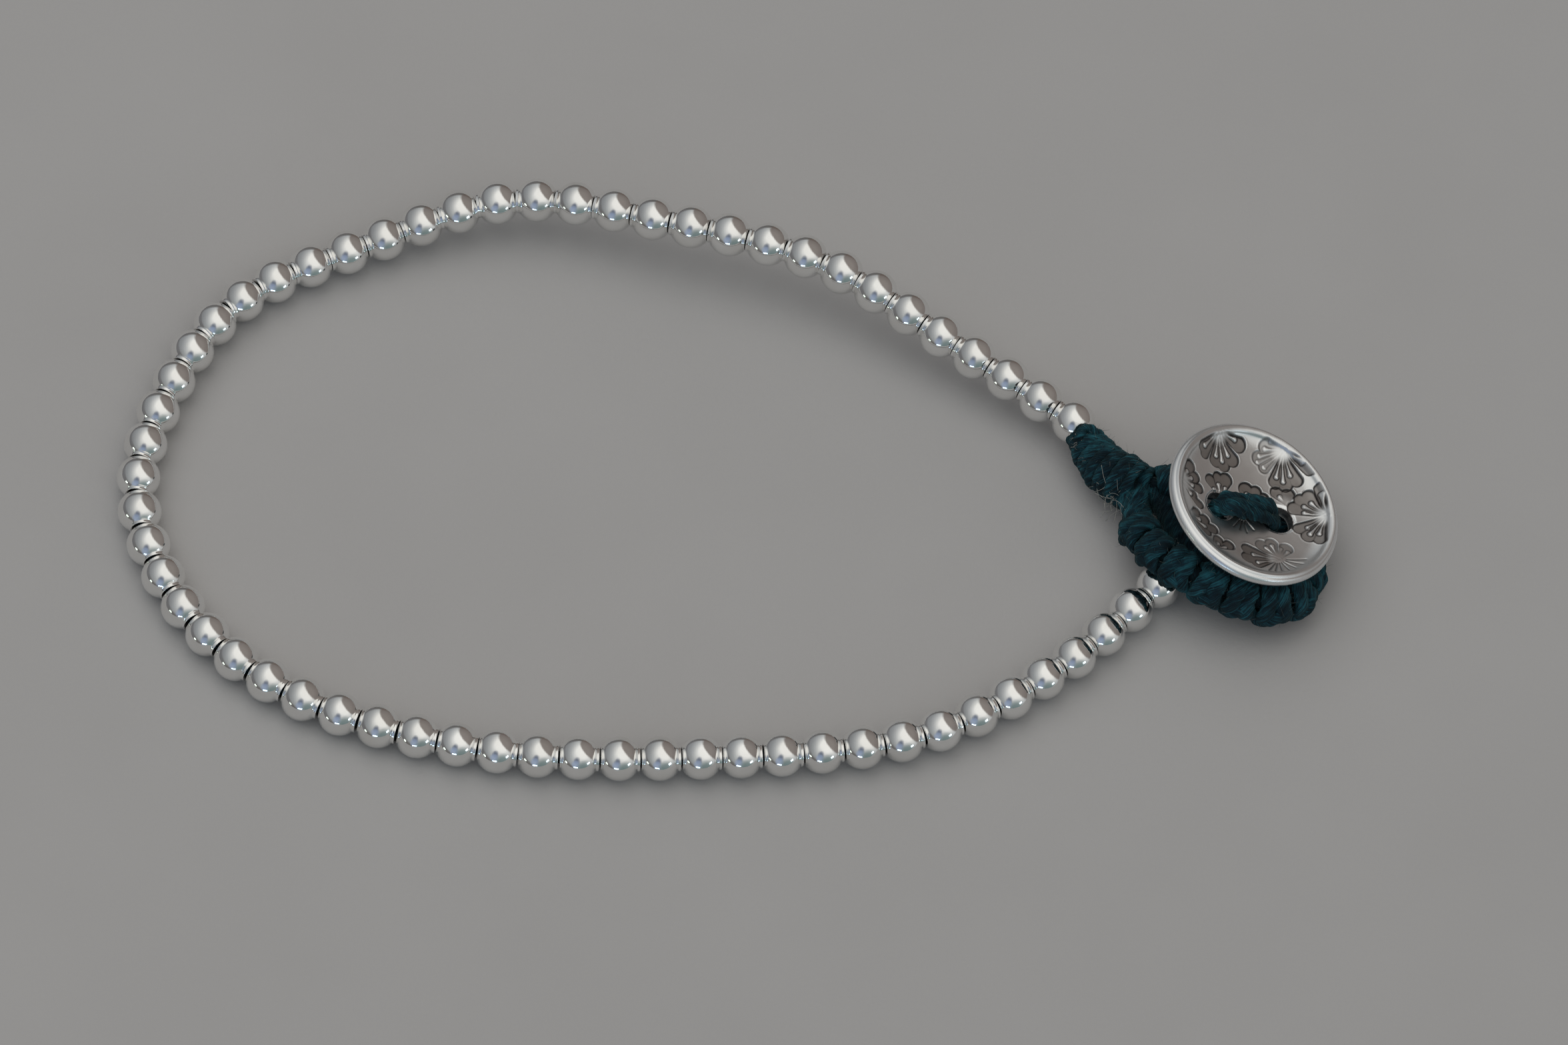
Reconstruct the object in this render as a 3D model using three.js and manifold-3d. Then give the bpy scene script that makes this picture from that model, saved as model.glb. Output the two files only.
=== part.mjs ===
// Beaded bracelet, fastened and lying on a table: a string of round silver
// beads, a wound cord neck that forks into a knotted loop, and a dished
// two-hole button that sits over the loop. Millimetres, +Z up, table at z = 0.
import * as THREE from 'three';
import { mergeVertices } from 'three/addons/utils/BufferGeometryUtils.js';
import Module from 'manifold-3d';

// Beads, and the thread that they are strung on. The upper string runs from
// the neck along the far side and round the left end, and the lower one from
// there along the near side to the tail. The belt is a band round the middle.
const BEAD = { count: 61, inUpperString: 40, diameter: 3.0, length: 2.5, belt: 0.54, sides: 10 };
const THREAD = { radius: 0.5 };

// Route of the string, from the wound neck round to the button's tail: places
// that the thread's axis passes, x and y over the table and z above it
const STRING_ROUTE = [
  { x: 24.4, y: 7.4, z: 2.2 },
  { x: 15.0, y: 12.7, z: 3.3 },
  { x: 5.2, y: 17.9, z: 4.4 },
  { x: -5.4, y: 20.3, z: 4.2 },
  { x: -16.4, y: 21.7, z: 3.1 },
  { x: -26.2, y: 17.9, z: 1.7 },
  { x: -34.4, y: 12.5, z: 1.5 },
  { x: -38.3, y: 5.5, z: 1.5 },
  { x: -39.8, y: -3.8, z: 1.5 },
  { x: -36.0, y: -12.3, z: 1.5 },
  { x: -28.3, y: -18.4, z: 1.5 },
  { x: -15.1, y: -21.6, z: 1.5 },
  { x: 0.0, y: -20.8, z: 1.5 },
  { x: 14.7, y: -17.5, z: 1.5 },
  { x: 23.4, y: -11.3, z: 1.5 },
  { x: 30.7, y: -3.0, z: 1.5 },
];
const ROUTE_DIVISIONS = 2000;

// Wound neck: cord wrapped round and round, thicker where the loop forks
const NECK = {
  wraps: 11,
  startRadius: 1.25,
  endRadius: 1.8,
  swell: 0.35,
  groove: 0.14,
  capShare: 0.05,
  capNarrowing: 0.75,
  sides: 12,
};
const NECK_ROUTE = [
  { x: 24.1, y: 6.4, z: 2.2 },
  { x: 25.6, y: 4.5, z: 2.4 },
  { x: 27.4, y: 2.8, z: 2.6 },
];

// Knotted loop: knots side by side on a core, each with a purl that stands out
// of its lower outer edge. The route's two ends lie side by side at the neck.
const LOOP = {
  knots: 17,
  radius: 1.25,
  waistRadius: 1.0,
  foldRadius: 1.17,
  endRadius: 0.7,
  capShare: 0.002,
  purlHeight: 0.35,
  purlDegrees: 115,
  purlSpreadDegrees: 50,
  sides: 12,
};
const LOOP_ROUTE = [
  { x: 27.8, y: 1.3, z: 2.8 },
  { x: 28.2, y: -0.5, z: 3.3 },
  { x: 29.8, y: -3.1, z: 4.4 },
  { x: 32.2, y: -4.7, z: 4.4 },
  { x: 34.8, y: -5.4, z: 3.8 },
  { x: 37.3, y: -5.4, z: 3.0 },
  { x: 39.1, y: -3.9, z: 2.1 },
  { x: 39.5, y: -1.2, z: 1.6 },
  { x: 38.4, y: 1.6, z: 1.6 },
  { x: 36.3, y: 3.7, z: 1.9 },
  { x: 33.3, y: 4.3, z: 2.3 },
  { x: 30.9, y: 3.7, z: 2.6 },
  { x: 29.2, y: 3.2, z: 2.7 },
];

// Button: a shallow dish with a rounded rim, tipped so that its left side is up
const BUTTON = {
  centre: { x: 35.86, y: 0.32, z: 6.4 },
  tipDegrees: 22,
  headingDegrees: 8,
  radius: 6.35,
  wall: 1.0,
  edgeWall: 0.65,
  dish: 1.05,
  dishRadius: 5.7,
  rimRadius: 0.42,
  arcSteps: 5,
  segments: 36,
  holeRadius: 1.05,
  holeSpacing: 4.4,
  holeShift: -0.22,
  holeTurnDegrees: -3.5,
  holeSides: 14,
  cutterLength: 8,
};
const RIM_DEGREES = [135, 90, 45, 0, -45];

// Fans of petals stamped into the dish, each spreading inwards from a point
// near the rim
const FAN = {
  count: 6,
  distance: 5.4,
  petals: 7,
  spreadDegrees: 150,
  petalStart: 0.65,
  petalLength: 1.25,
  petalWidth: 0.44,
  petalDepth: 0.16,
};

// Stitch: a ring of cord through both of the button's holes. It is level over
// a share of the way between the holes, above the dish and below the wall.
const STITCH = {
  radius: 0.72,
  overDish: 0.85,
  overShare: 0.72,
  underWall: 1.05,
  underShare: 0.6,
  sides: 8,
  steps: 28,
};

// Tail: the wound end of the string, under the loop and up to the stitch
const TAIL = { radius: 0.95, sides: 10, steps: 10 };
const TAIL_ROUTE = [
  { x: 31.0, y: -2.6, z: 1.5 },
  { x: 32.1, y: -1.4, z: 1.5 },
  { x: 33.4, y: -0.6, z: 1.3 },
  { x: 34.6, y: -0.3, z: 1.2 },
];

const MERGE_DISTANCE = 1e-4;

const wasm = await Module();
wasm.setup();

const UP = new THREE.Vector3(0, 0, 1);

function vector(row) {
  return new THREE.Vector3(row.x, row.y, row.z);
}

function curveThrough(rows) {
  const curve = new THREE.CatmullRomCurve3(rows.map(vector));
  curve.arcLengthDivisions = ROUTE_DIVISIONS;
  return curve;
}

// Corners of a many-sided ring round an axis. One side faces straight down
// where the axis is level, and radiusAt may vary with the angle from the top.
function ring(centre, direction, sides, radiusAt, top = UP) {
  const along = direction.clone().normalize();
  const upward = top.clone().addScaledVector(along, -top.dot(along)).normalize();
  const across = new THREE.Vector3().crossVectors(along, upward);
  return Array.from({ length: sides }, (_, i) => {
    const angle = ((i + 0.5) / sides) * 2 * Math.PI;
    const radius = radiusAt(angle);
    return centre
      .clone()
      .addScaledVector(upward, radius * Math.cos(angle))
      .addScaledVector(across, radius * Math.sin(angle));
  });
}

// Faces between each ring and the next, for rings of alike numbers of corners
function bandFaces(ringCount, sides, joined) {
  const faces = [];
  const bands = joined ? ringCount : ringCount - 1;
  for (let band = 0; band < bands; band += 1) {
    const here = band * sides;
    const there = ((band + 1) % ringCount) * sides;
    for (let i = 0; i < sides; i += 1) {
      const next = (i + 1) % sides;
      faces.push(here + i, here + next, there + next);
      faces.push(here + i, there + next, there + i);
    }
  }
  return faces;
}

function indexed(points, faces) {
  const geometry = new THREE.BufferGeometry().setFromPoints(points);
  geometry.setIndex(faces);
  return geometry;
}

// A closed solid through a row of rings, with a flat face at both ends
function skin(rings) {
  const sides = rings[0].length;
  const middle = (corners) => {
    const sum = corners.reduce((total, corner) => total.add(corner), new THREE.Vector3());
    return sum.divideScalar(corners.length);
  };
  const points = [...rings.flat(), middle(rings[0]), middle(rings.at(-1))];
  const faces = bandFaces(rings.length, sides, false);
  const last = (rings.length - 1) * sides;
  for (let i = 0; i < sides; i += 1) {
    const next = (i + 1) % sides;
    faces.push(points.length - 2, next, i);
    faces.push(points.length - 1, last + i, last + next);
  }
  return indexed(points, faces);
}

// A closed solid through a row of rings whose last meets the first
function hoop(rings) {
  return indexed(rings.flat(), bandFaces(rings.length, rings[0].length, true));
}

// Solids for cutting, and the way back to a geometry
function toSolid(geometry) {
  const bare = geometry.clone();
  bare.deleteAttribute('normal');
  bare.deleteAttribute('uv');
  const merged = mergeVertices(bare, MERGE_DISTANCE);
  const vertProperties = Float32Array.from(merged.attributes.position.array);
  const triVerts = Uint32Array.from(merged.index.array);
  return new wasm.Manifold(new wasm.Mesh({ numProp: 3, vertProperties, triVerts }));
}

function toGeometry(solid) {
  const mesh = solid.getMesh();
  const geometry = new THREE.BufferGeometry();
  geometry.setAttribute('position', new THREE.BufferAttribute(mesh.vertProperties, 3));
  geometry.setIndex(new THREE.BufferAttribute(mesh.triVerts, 1));
  return geometry;
}

// Rings of one bead: a ball cut flat at both ends, between two necks of thread.
// Its sides are drawn round the ball, so that one of them can lie on the table.
function beadProfile() {
  const ball = BEAD.diameter / 2;
  const outward = 1 / Math.cos(Math.PI / BEAD.sides);
  const half = BEAD.length / 2;
  const shoulder = (half + BEAD.belt / 2) / 2;
  const faceRadius = Math.sqrt(ball ** 2 - half ** 2);
  const shoulderRadius = Math.sqrt(ball ** 2 - shoulder ** 2) * outward;
  const front = [
    { at: half, radius: THREAD.radius },
    { at: half, radius: faceRadius },
    { at: shoulder, radius: shoulderRadius },
    { at: BEAD.belt / 2, radius: ball * outward },
  ];
  const back = front.map(({ at, radius }) => ({ at: -at, radius }));
  return [...back, ...front.reverse()];
}

// Beads from first to last on the route, with the thread between them, in one
function beadString(route, first, last) {
  const centreOf = (index) => {
    const point = route.getPointAt((index + 0.5) / BEAD.count);
    point.z = Math.max(point.z, BEAD.diameter / 2);
    return point;
  };
  const rings = [];
  for (let index = first; index <= last; index += 1) {
    const centre = centreOf(index);
    const before = centreOf(Math.max(index - 1, 0));
    const after = centreOf(Math.min(index + 1, BEAD.count - 1));
    const along = after.sub(before).normalize();
    for (const { at, radius } of beadProfile()) {
      rings.push(ring(centre.clone().addScaledVector(along, at), along, BEAD.sides, () => radius));
    }
  }
  // The two ends of the string are the end beads' own faces, with no thread
  return skin(rings.slice(1, -1));
}

// The wound neck: one ridge for each wrap, swelling towards the fork
function neckGeometry() {
  const route = curveThrough(NECK_ROUTE);
  const radiusAt = (share) => {
    const taper = THREE.MathUtils.lerp(NECK.startRadius, NECK.endRadius, share);
    return taper + NECK.swell * Math.sin(Math.PI * share);
  };
  const wrapShare = (1 - 2 * NECK.capShare) / NECK.wraps;
  const profile = [{ share: 0, radius: NECK.startRadius * NECK.capNarrowing }];
  for (let wrap = 0; wrap < NECK.wraps; wrap += 1) {
    const valley = NECK.capShare + wrap * wrapShare;
    const crest = valley + wrapShare / 2;
    profile.push({ share: valley, radius: radiusAt(valley) - NECK.groove });
    profile.push({ share: crest, radius: radiusAt(crest) });
  }
  profile.push({ share: 1 - NECK.capShare, radius: NECK.endRadius - NECK.groove });
  profile.push({ share: 1, radius: NECK.endRadius * NECK.capNarrowing });
  return skin(profile.map(({ share, radius }) => {
    return ring(route.getPointAt(share), route.getTangentAt(share), NECK.sides, () => radius);
  }));
}

// The loop: for each knot a waist, two crests and a fold between them, with the
// purl highest at the fold
function loopGeometry() {
  const route = curveThrough(LOOP_ROUTE);
  const purlCentre = THREE.MathUtils.degToRad(LOOP.purlDegrees);
  const purlSpread = THREE.MathUtils.degToRad(LOOP.purlSpreadDegrees);
  const purlAt = (angle) => Math.max(0, Math.cos(((angle - purlCentre) / purlSpread) * (Math.PI / 2)));
  const knot = [
    { at: 0.02, radius: LOOP.waistRadius, purl: 0.1 },
    { at: 0.22, radius: LOOP.radius, purl: 0.7 },
    { at: 0.5, radius: LOOP.foldRadius, purl: 1 },
    { at: 0.78, radius: LOOP.radius, purl: 0.7 },
  ];
  const rows = [{ at: 0, radius: LOOP.endRadius, purl: 0 }];
  for (let count = 0; count < LOOP.knots; count += 1) {
    rows.push(...knot.map((row) => ({ ...row, at: (count + row.at) / LOOP.knots })));
  }
  rows.push({ at: 1 - LOOP.capShare, radius: LOOP.waistRadius, purl: 0 });
  rows.push({ at: 1, radius: LOOP.endRadius, purl: 0 });
  return skin(rows.map(({ at, radius, purl }) => {
    const radiusAt = (angle) => {
      const near = Math.abs(angle - purlCentre) < purlSpread;
      return radius + (near ? LOOP.purlHeight * purl * purlAt(angle) : 0);
    };
    return ring(route.getPointAt(at), route.getTangentAt(at), LOOP.sides, radiusAt);
  }));
}

// The button's own frame: local Z is its axis, local X runs down the tip
function buttonFrame() {
  const tip = new THREE.Matrix4().makeRotationY(THREE.MathUtils.degToRad(BUTTON.tipDegrees));
  const heading = new THREE.Matrix4().makeRotationZ(THREE.MathUtils.degToRad(BUTTON.headingDegrees));
  return heading.multiply(tip).setPosition(vector(BUTTON.centre));
}

// The row of holes in the button's frame: a little turned, and to one side
function holeRow() {
  const turn = new THREE.Matrix4().makeRotationZ(THREE.MathUtils.degToRad(BUTTON.holeTurnDegrees));
  return turn.setPosition(0, BUTTON.holeShift, 0);
}

// Height of the dish's face below the top of the rim, at a distance from the
// axis, and of its back, which is closer to the face at the edge
function faceHeight(distance) {
  return -BUTTON.dish * (1 - (distance / BUTTON.dishRadius) ** 2) - BUTTON.rimRadius / 2;
}

function backHeight(distance) {
  const edge = (distance / BUTTON.dishRadius) ** 2;
  return faceHeight(distance) - THREE.MathUtils.lerp(BUTTON.wall, BUTTON.edgeWall, edge);
}

// One petal of a fan: a long eight-sided drop, sunk to its middle in the face
function petal(fan, index) {
  const around = (fan / FAN.count) * 2 * Math.PI;
  const spread = THREE.MathUtils.degToRad(FAN.spreadDegrees);
  const heading = around + Math.PI + (index / (FAN.petals - 1) - 0.5) * spread;
  const reach = FAN.petalStart + FAN.petalLength / 2;
  const x = FAN.distance * Math.cos(around) + reach * Math.cos(heading);
  const y = FAN.distance * Math.sin(around) + reach * Math.sin(heading);
  const distance = Math.hypot(x, y);
  const bearing = Math.atan2(y, x);
  const slope = Math.atan((2 * BUTTON.dish * distance) / BUTTON.dishRadius ** 2);
  const drop = new THREE.OctahedronGeometry(1);
  drop.scale(FAN.petalLength / 2, FAN.petalWidth / 2, FAN.petalDepth);
  drop.rotateZ(heading - bearing).rotateY(-slope).rotateZ(bearing);
  return drop.translate(x, y, faceHeight(distance));
}

function buttonGeometry() {
  const face = [];
  const back = [];
  for (let step = 0; step <= BUTTON.arcSteps; step += 1) {
    const distance = (BUTTON.dishRadius * step) / BUTTON.arcSteps;
    face.push([distance, faceHeight(distance)]);
    back.unshift([distance, backHeight(distance)]);
  }
  const rimCentre = BUTTON.radius - BUTTON.rimRadius;
  const rim = RIM_DEGREES.map((degrees) => {
    const angle = THREE.MathUtils.degToRad(degrees);
    return [rimCentre + BUTTON.rimRadius * Math.cos(angle), BUTTON.rimRadius * (Math.sin(angle) - 1)];
  });
  const outline = [...face, ...rim, ...back].reverse().map(([r, z]) => new THREE.Vector2(r, z));
  let solid = toSolid(new THREE.LatheGeometry(outline, BUTTON.segments).rotateX(Math.PI / 2));
  for (const side of [-1, 1]) {
    const { holeRadius, cutterLength, holeSides, holeSpacing } = BUTTON;
    const hole = new THREE.CylinderGeometry(holeRadius, holeRadius, cutterLength, holeSides);
    hole.rotateX(Math.PI / 2).translate((side * holeSpacing) / 2, 0, 0).applyMatrix4(holeRow());
    solid = solid.subtract(toSolid(hole));
  }
  for (let fan = 0; fan < FAN.count; fan += 1) {
    for (let index = 0; index < FAN.petals; index += 1) {
      solid = solid.subtract(toSolid(petal(fan, index)));
    }
  }
  return toGeometry(solid).applyMatrix4(buttonFrame());
}

// A flat ring of cord, over the dish and back under the button, through both holes
function stitchGeometry() {
  const halfSpan = BUTTON.holeSpacing / 2;
  const top = faceHeight(halfSpan);
  const bottom = faceHeight(0) - BUTTON.wall;
  const over = halfSpan * STITCH.overShare;
  const under = halfSpan * STITCH.underShare;
  const places = [
    [-halfSpan, top],
    [-over, top + STITCH.overDish],
    [over, top + STITCH.overDish],
    [halfSpan, top],
    [halfSpan, bottom],
    [under, bottom - STITCH.underWall],
    [-under, bottom - STITCH.underWall],
    [-halfSpan, bottom],
  ].map(([x, z]) => new THREE.Vector3(x, 0, z));
  const route = new THREE.CatmullRomCurve3(places, true);
  const sideways = new THREE.Vector3(0, 1, 0);
  const rings = Array.from({ length: STITCH.steps }, (_, step) => {
    const share = step / STITCH.steps;
    const centre = route.getPointAt(share);
    return ring(centre, route.getTangentAt(share), STITCH.sides, () => STITCH.radius, sideways);
  });
  return hoop(rings).applyMatrix4(holeRow()).applyMatrix4(buttonFrame());
}

function tailGeometry() {
  const route = curveThrough(TAIL_ROUTE);
  const shares = Array.from({ length: TAIL.steps + 1 }, (_, step) => step / TAIL.steps);
  return skin(shares.map((share) => {
    return ring(route.getPointAt(share), route.getTangentAt(share), TAIL.sides, () => TAIL.radius);
  }));
}

const SILVER = { color: 0xd9d6d0, metalness: 1.0, roughness: 0.12 };
const OLD_SILVER = { color: 0xa8a49c, metalness: 1.0, roughness: 0.38 };
const CORD = { color: 0x0f3b3a, metalness: 0.0, roughness: 0.85 };

const bracelet = new THREE.Group();

function add(name, geometry, finish) {
  const mesh = new THREE.Mesh(geometry, new THREE.MeshStandardMaterial(finish));
  mesh.name = name;
  bracelet.add(mesh);
}

const stringRoute = curveThrough(STRING_ROUTE);
add('bead_string_upper', beadString(stringRoute, 0, BEAD.inUpperString - 1), SILVER);
add('bead_string_lower', beadString(stringRoute, BEAD.inUpperString, BEAD.count - 1), SILVER);
add('cord_neck', neckGeometry(), CORD);
add('knotted_loop', loopGeometry(), CORD);
add('button', buttonGeometry(), OLD_SILVER);
add('button_stitch', stitchGeometry(), CORD);
add('button_tail', tailGeometry(), CORD);

export default bracelet;
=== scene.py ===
"""Beaded bracelet: round silver beads on a cord, closed by a knotted cord loop over a stamped silver button.

Places and sizes are in millimetres in the part's own frame, and meshes are made in metres.
"""
import logging
import math
from dataclasses import dataclass
from enum import Enum
from typing import Any, Sequence

import bmesh
import bpy
import numpy as np
from mathutils import Matrix, Vector


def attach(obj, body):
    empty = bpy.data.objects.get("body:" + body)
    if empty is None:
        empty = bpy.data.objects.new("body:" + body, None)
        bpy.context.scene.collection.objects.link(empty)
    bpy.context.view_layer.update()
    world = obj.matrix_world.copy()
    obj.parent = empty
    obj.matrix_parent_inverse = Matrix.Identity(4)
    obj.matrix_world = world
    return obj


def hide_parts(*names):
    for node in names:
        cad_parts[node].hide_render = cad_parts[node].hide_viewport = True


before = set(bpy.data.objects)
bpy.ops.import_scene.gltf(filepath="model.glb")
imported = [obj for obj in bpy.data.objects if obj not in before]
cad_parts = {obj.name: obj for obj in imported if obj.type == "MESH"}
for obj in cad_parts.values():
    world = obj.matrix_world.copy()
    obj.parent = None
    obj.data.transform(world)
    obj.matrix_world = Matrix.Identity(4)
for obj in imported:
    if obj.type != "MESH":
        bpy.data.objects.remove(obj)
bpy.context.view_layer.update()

LOG = logging.getLogger("bracelet")
MM = 0.001
TURN = 2.0 * math.pi
UP = np.array([0.0, 0.0, 1.0])
ROOT = "root"
FIBRE_STEP = 7.31
LUMP_WAVES = ((4.1, 0, 1), (7.7, 2, 1), (12.9, -1, 2))

Colour = tuple[float, float, float]
Point = tuple[float, float, float]
Place = tuple[float, float]


class Slot(Enum):
    """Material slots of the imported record."""

    BEADS = "bead_silver"
    BUTTON = "button_silver"
    CORD = "cord"


# Routes, from the part's source; the neck's and the loop's have more points where the two meet

STRING_ROUTE: list[Point] = [
    (24.4, 7.4, 2.2), (15.0, 12.7, 3.3), (5.2, 17.9, 4.4), (-5.4, 20.3, 4.2),
    (-16.4, 21.7, 3.1), (-26.2, 17.9, 1.7), (-34.4, 12.5, 1.5), (-38.3, 5.5, 1.5),
    (-39.8, -3.8, 1.5), (-36.0, -12.3, 1.5), (-28.3, -18.4, 1.5), (-15.1, -21.6, 1.5),
    (0.0, -20.8, 1.5), (14.7, -17.5, 1.5), (23.4, -11.3, 1.5), (30.7, -3.0, 1.5),
]
NECK_ROUTE: list[Point] = [
    (23.95, 7.45, 2.2), (24.2, 6.7, 2.2), (24.65, 5.85, 2.25), (25.6, 4.6, 2.4), (26.9, 3.5, 2.6),
    (28.05, 2.75, 2.75),
]
LOOP_ROUTE: list[Point] = [
    (27.0, 3.1, 2.6), (27.6, 2.1, 2.75), (27.9, 1.1, 2.9), (28.2, -0.5, 3.3), (29.8, -3.1, 4.4),
    (32.2, -4.7, 4.4), (34.8, -5.4, 3.8), (37.3, -5.4, 3.0), (39.1, -3.9, 2.1), (39.5, -1.2, 1.6),
    (38.4, 1.6, 1.6), (36.3, 3.7, 1.9), (33.3, 4.3, 2.3), (30.9, 3.7, 2.6), (29.4, 3.35, 2.7),
    (28.2, 3.4, 2.65), (27.2, 3.9, 2.55),
]
TAIL_ROUTE: list[Point] = [(31.0, -2.6, 1.5), (32.1, -1.4, 1.5), (33.4, -0.6, 1.3), (34.6, -0.3, 1.2)]


# Shader writing


class Signal:
    """A shader socket that can be used in Python sums."""

    def __init__(self, paint: "Paint", socket: bpy.types.NodeSocket) -> None:
        """Wraps an output socket of a node tree."""
        self.paint = paint
        self.socket = socket

    def _math(self, operation: str, first: Any, second: Any) -> "Signal":
        """Adds a Math node that works on two values or links."""
        return self.paint.node("ShaderNodeMath", {"operation": operation}, {0: first, 1: second})

    def __add__(self, other: Any) -> "Signal":
        """Adds other."""
        return self._math("ADD", self, other)

    def __radd__(self, other: Any) -> "Signal":
        """Adds self to other."""
        return self._math("ADD", other, self)

    def __sub__(self, other: Any) -> "Signal":
        """Takes other away."""
        return self._math("SUBTRACT", self, other)

    def __rsub__(self, other: Any) -> "Signal":
        """Takes self away from other."""
        return self._math("SUBTRACT", other, self)

    def __mul__(self, other: Any) -> "Signal":
        """Multiplies by other."""
        return self._math("MULTIPLY", self, other)

    def __rmul__(self, other: Any) -> "Signal":
        """Multiplies other by self."""
        return self._math("MULTIPLY", other, self)

    def __truediv__(self, other: Any) -> "Signal":
        """Divides by other."""
        return self._math("DIVIDE", self, other)

    def clamped(self) -> "Signal":
        """Keeps the value between 0 and 1."""
        settings = {"operation": "ADD", "use_clamp": True}
        return self.paint.node("ShaderNodeMath", settings, {0: self, 1: 0.0})


class Paint:
    """The node tree of one material or of the world."""

    def __init__(self, tree: bpy.types.NodeTree) -> None:
        """Takes a node tree and clears it."""
        self.tree = tree
        tree.nodes.clear()

    def node(
        self,
        kind: str,
        settings: dict[str, Any] | None = None,
        inputs: dict[Any, Any] | None = None,
        output: int | str = 0,
    ) -> Signal:
        """Adds a node.

        Args:
            kind: The node's type.
            settings: What is set on it first; "stops" holds a ramp's (place, colour) pairs.
            inputs: A value or a Signal for each socket, by name or by number.
            output: The output socket that is wanted.

        Returns:
            That output as a Signal.
        """
        made = self.tree.nodes.new(kind)
        for name, value in (settings or {}).items():
            if name == "stops":
                self._fill_ramp(made, value)
            else:
                setattr(made, name, value)
        for key, value in (inputs or {}).items():
            socket = made.inputs[key]
            if isinstance(value, Signal):
                self.tree.links.new(value.socket, socket)
            elif isinstance(value, tuple) and len(value) == 3 and socket.type == "RGBA":
                socket.default_value = (*value, 1.0)
            else:
                socket.default_value = value
        return Signal(self, made.outputs[output] if len(made.outputs) else None)

    def _fill_ramp(self, made: bpy.types.Node, stops: Sequence[tuple[float, Colour]]) -> None:
        """Sets a ramp's stops.

        Args:
            made: The ramp node.
            stops: A place from 0 to 1 and a colour for each stop.
        """
        ramp = made.color_ramp
        while len(ramp.elements) < len(stops):
            ramp.elements.new(1.0)
        for element, (place, colour) in zip(ramp.elements, stops):
            element.position = place
            element.color = (*colour, 1.0)

    def noise(self, scale: float, detail: float = 3.0, vector: Signal | None = None) -> Signal:
        """Adds a noise.

        Args:
            scale: How fine it is, in repeats per unit of the vector.
            detail: How many finer layers it has.
            vector: Where it is read, or the object's own place if left out.

        Returns:
            A value round 0.5.
        """
        inputs: dict[Any, Any] = {"Scale": scale, "Detail": detail, "Roughness": 0.55}
        inputs["Vector"] = vector or self.place()
        return self.node("ShaderNodeTexNoise", None, inputs)

    def place(self) -> Signal:
        """The place on the object, in metres."""
        return self.node("ShaderNodeTexCoord", None, None, "Object")

    def stored(self, name: str, vector: bool = False) -> Signal:
        """Reads the number, or the vector, that the mesh stores under a name."""
        settings = {"attribute_name": name, "attribute_type": "GEOMETRY"}
        return self.node("ShaderNodeAttribute", settings, None, "Vector" if vector else "Fac")

    def mix(self, share: Any, low: Any, high: Any) -> Signal:
        """Mixes two colours.

        Args:
            share: How much of the second there is.
            low: The first colour.
            high: The second colour.

        Returns:
            The mixed colour.
        """
        settings = {"data_type": "RGBA", "blend_type": "MIX", "clamp_factor": True}
        inputs = {0: share, 6: low, 7: high}
        return self.node("ShaderNodeMix", settings, inputs, 2)

    def ramp(self, share: Signal, stops: Sequence[tuple[float, Colour]]) -> Signal:
        """Turns a value into a colour along stops."""
        return self.node("ShaderNodeValToRGB", {"stops": stops}, {0: share})

    def bump(self, height: Signal, distance: float, strength: float, normal: Signal | None = None) -> Signal:
        """Adds a bump.

        Args:
            height: The height, from 0 to 1.
            distance: What a height of 1 stands for, in metres.
            strength: How much of it shows.
            normal: A bump that comes before it.

        Returns:
            The normal for a shader.
        """
        inputs: dict[Any, Any] = {"Strength": strength, "Distance": distance, "Height": height}
        if normal:
            inputs["Normal"] = normal
        return self.node("ShaderNodeBump", None, inputs)

    def finish(self, **sockets: Any) -> None:
        """Adds the surface shader and the output.

        Args:
            sockets: Values and links of the surface shader, with _ for each space in a name.
        """
        inputs = {name.replace("_", " "): value for name, value in sockets.items()}
        shader = self.node("ShaderNodeBsdfPrincipled", None, inputs)
        self.node("ShaderNodeOutputMaterial", None, {"Surface": shader})


def new_paint(name: str) -> tuple[bpy.types.Material, Paint]:
    """Makes a material with an empty node tree.

    Args:
        name: The material's name.

    Returns:
        The material and its tree.
    """
    material = bpy.data.materials.new(name)
    material.use_nodes = True
    return material, Paint(material.node_tree)


@dataclass(frozen=True)
class PolishedSilver:
    """Bright, slightly worn ball-bead silver with tarnish at the hole rims."""

    name: str = "polished_silver"
    bright: Colour = (0.915, 0.915, 0.905)
    warm: Colour = (0.80, 0.785, 0.76)
    tarnish: Colour = (0.12, 0.11, 0.10)
    roughness: float = 0.085
    cloud_scale: float = 420.0
    cloud_bump: float = 0.00012
    scratch_scale: float = 5200.0
    scratch_bump: float = 0.000006

    def make(self) -> bpy.types.Material:
        """Makes the material.

        Returns:
            The new material.
        """
        material, paint = new_paint(self.name)
        clouds = paint.noise(self.cloud_scale, 3.0)
        scratches = paint.noise(self.scratch_scale, 2.0)
        colour = paint.mix((clouds * 1.6 - 0.55).clamped(), self.bright, self.warm)
        rim = paint.stored("tarnish")
        colour = paint.mix(rim * (0.6 + clouds * 0.6), colour, self.tarnish)
        rough = self.roughness + (clouds - 0.4) * 0.09 + rim * 0.25
        soft = paint.bump(clouds, self.cloud_bump, 0.22)
        fine = paint.bump(scratches, self.scratch_bump, 0.25, soft)
        paint.finish(Base_Color=colour, Metallic=1.0, Roughness=rough.clamped(), Normal=fine)
        return material


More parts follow.
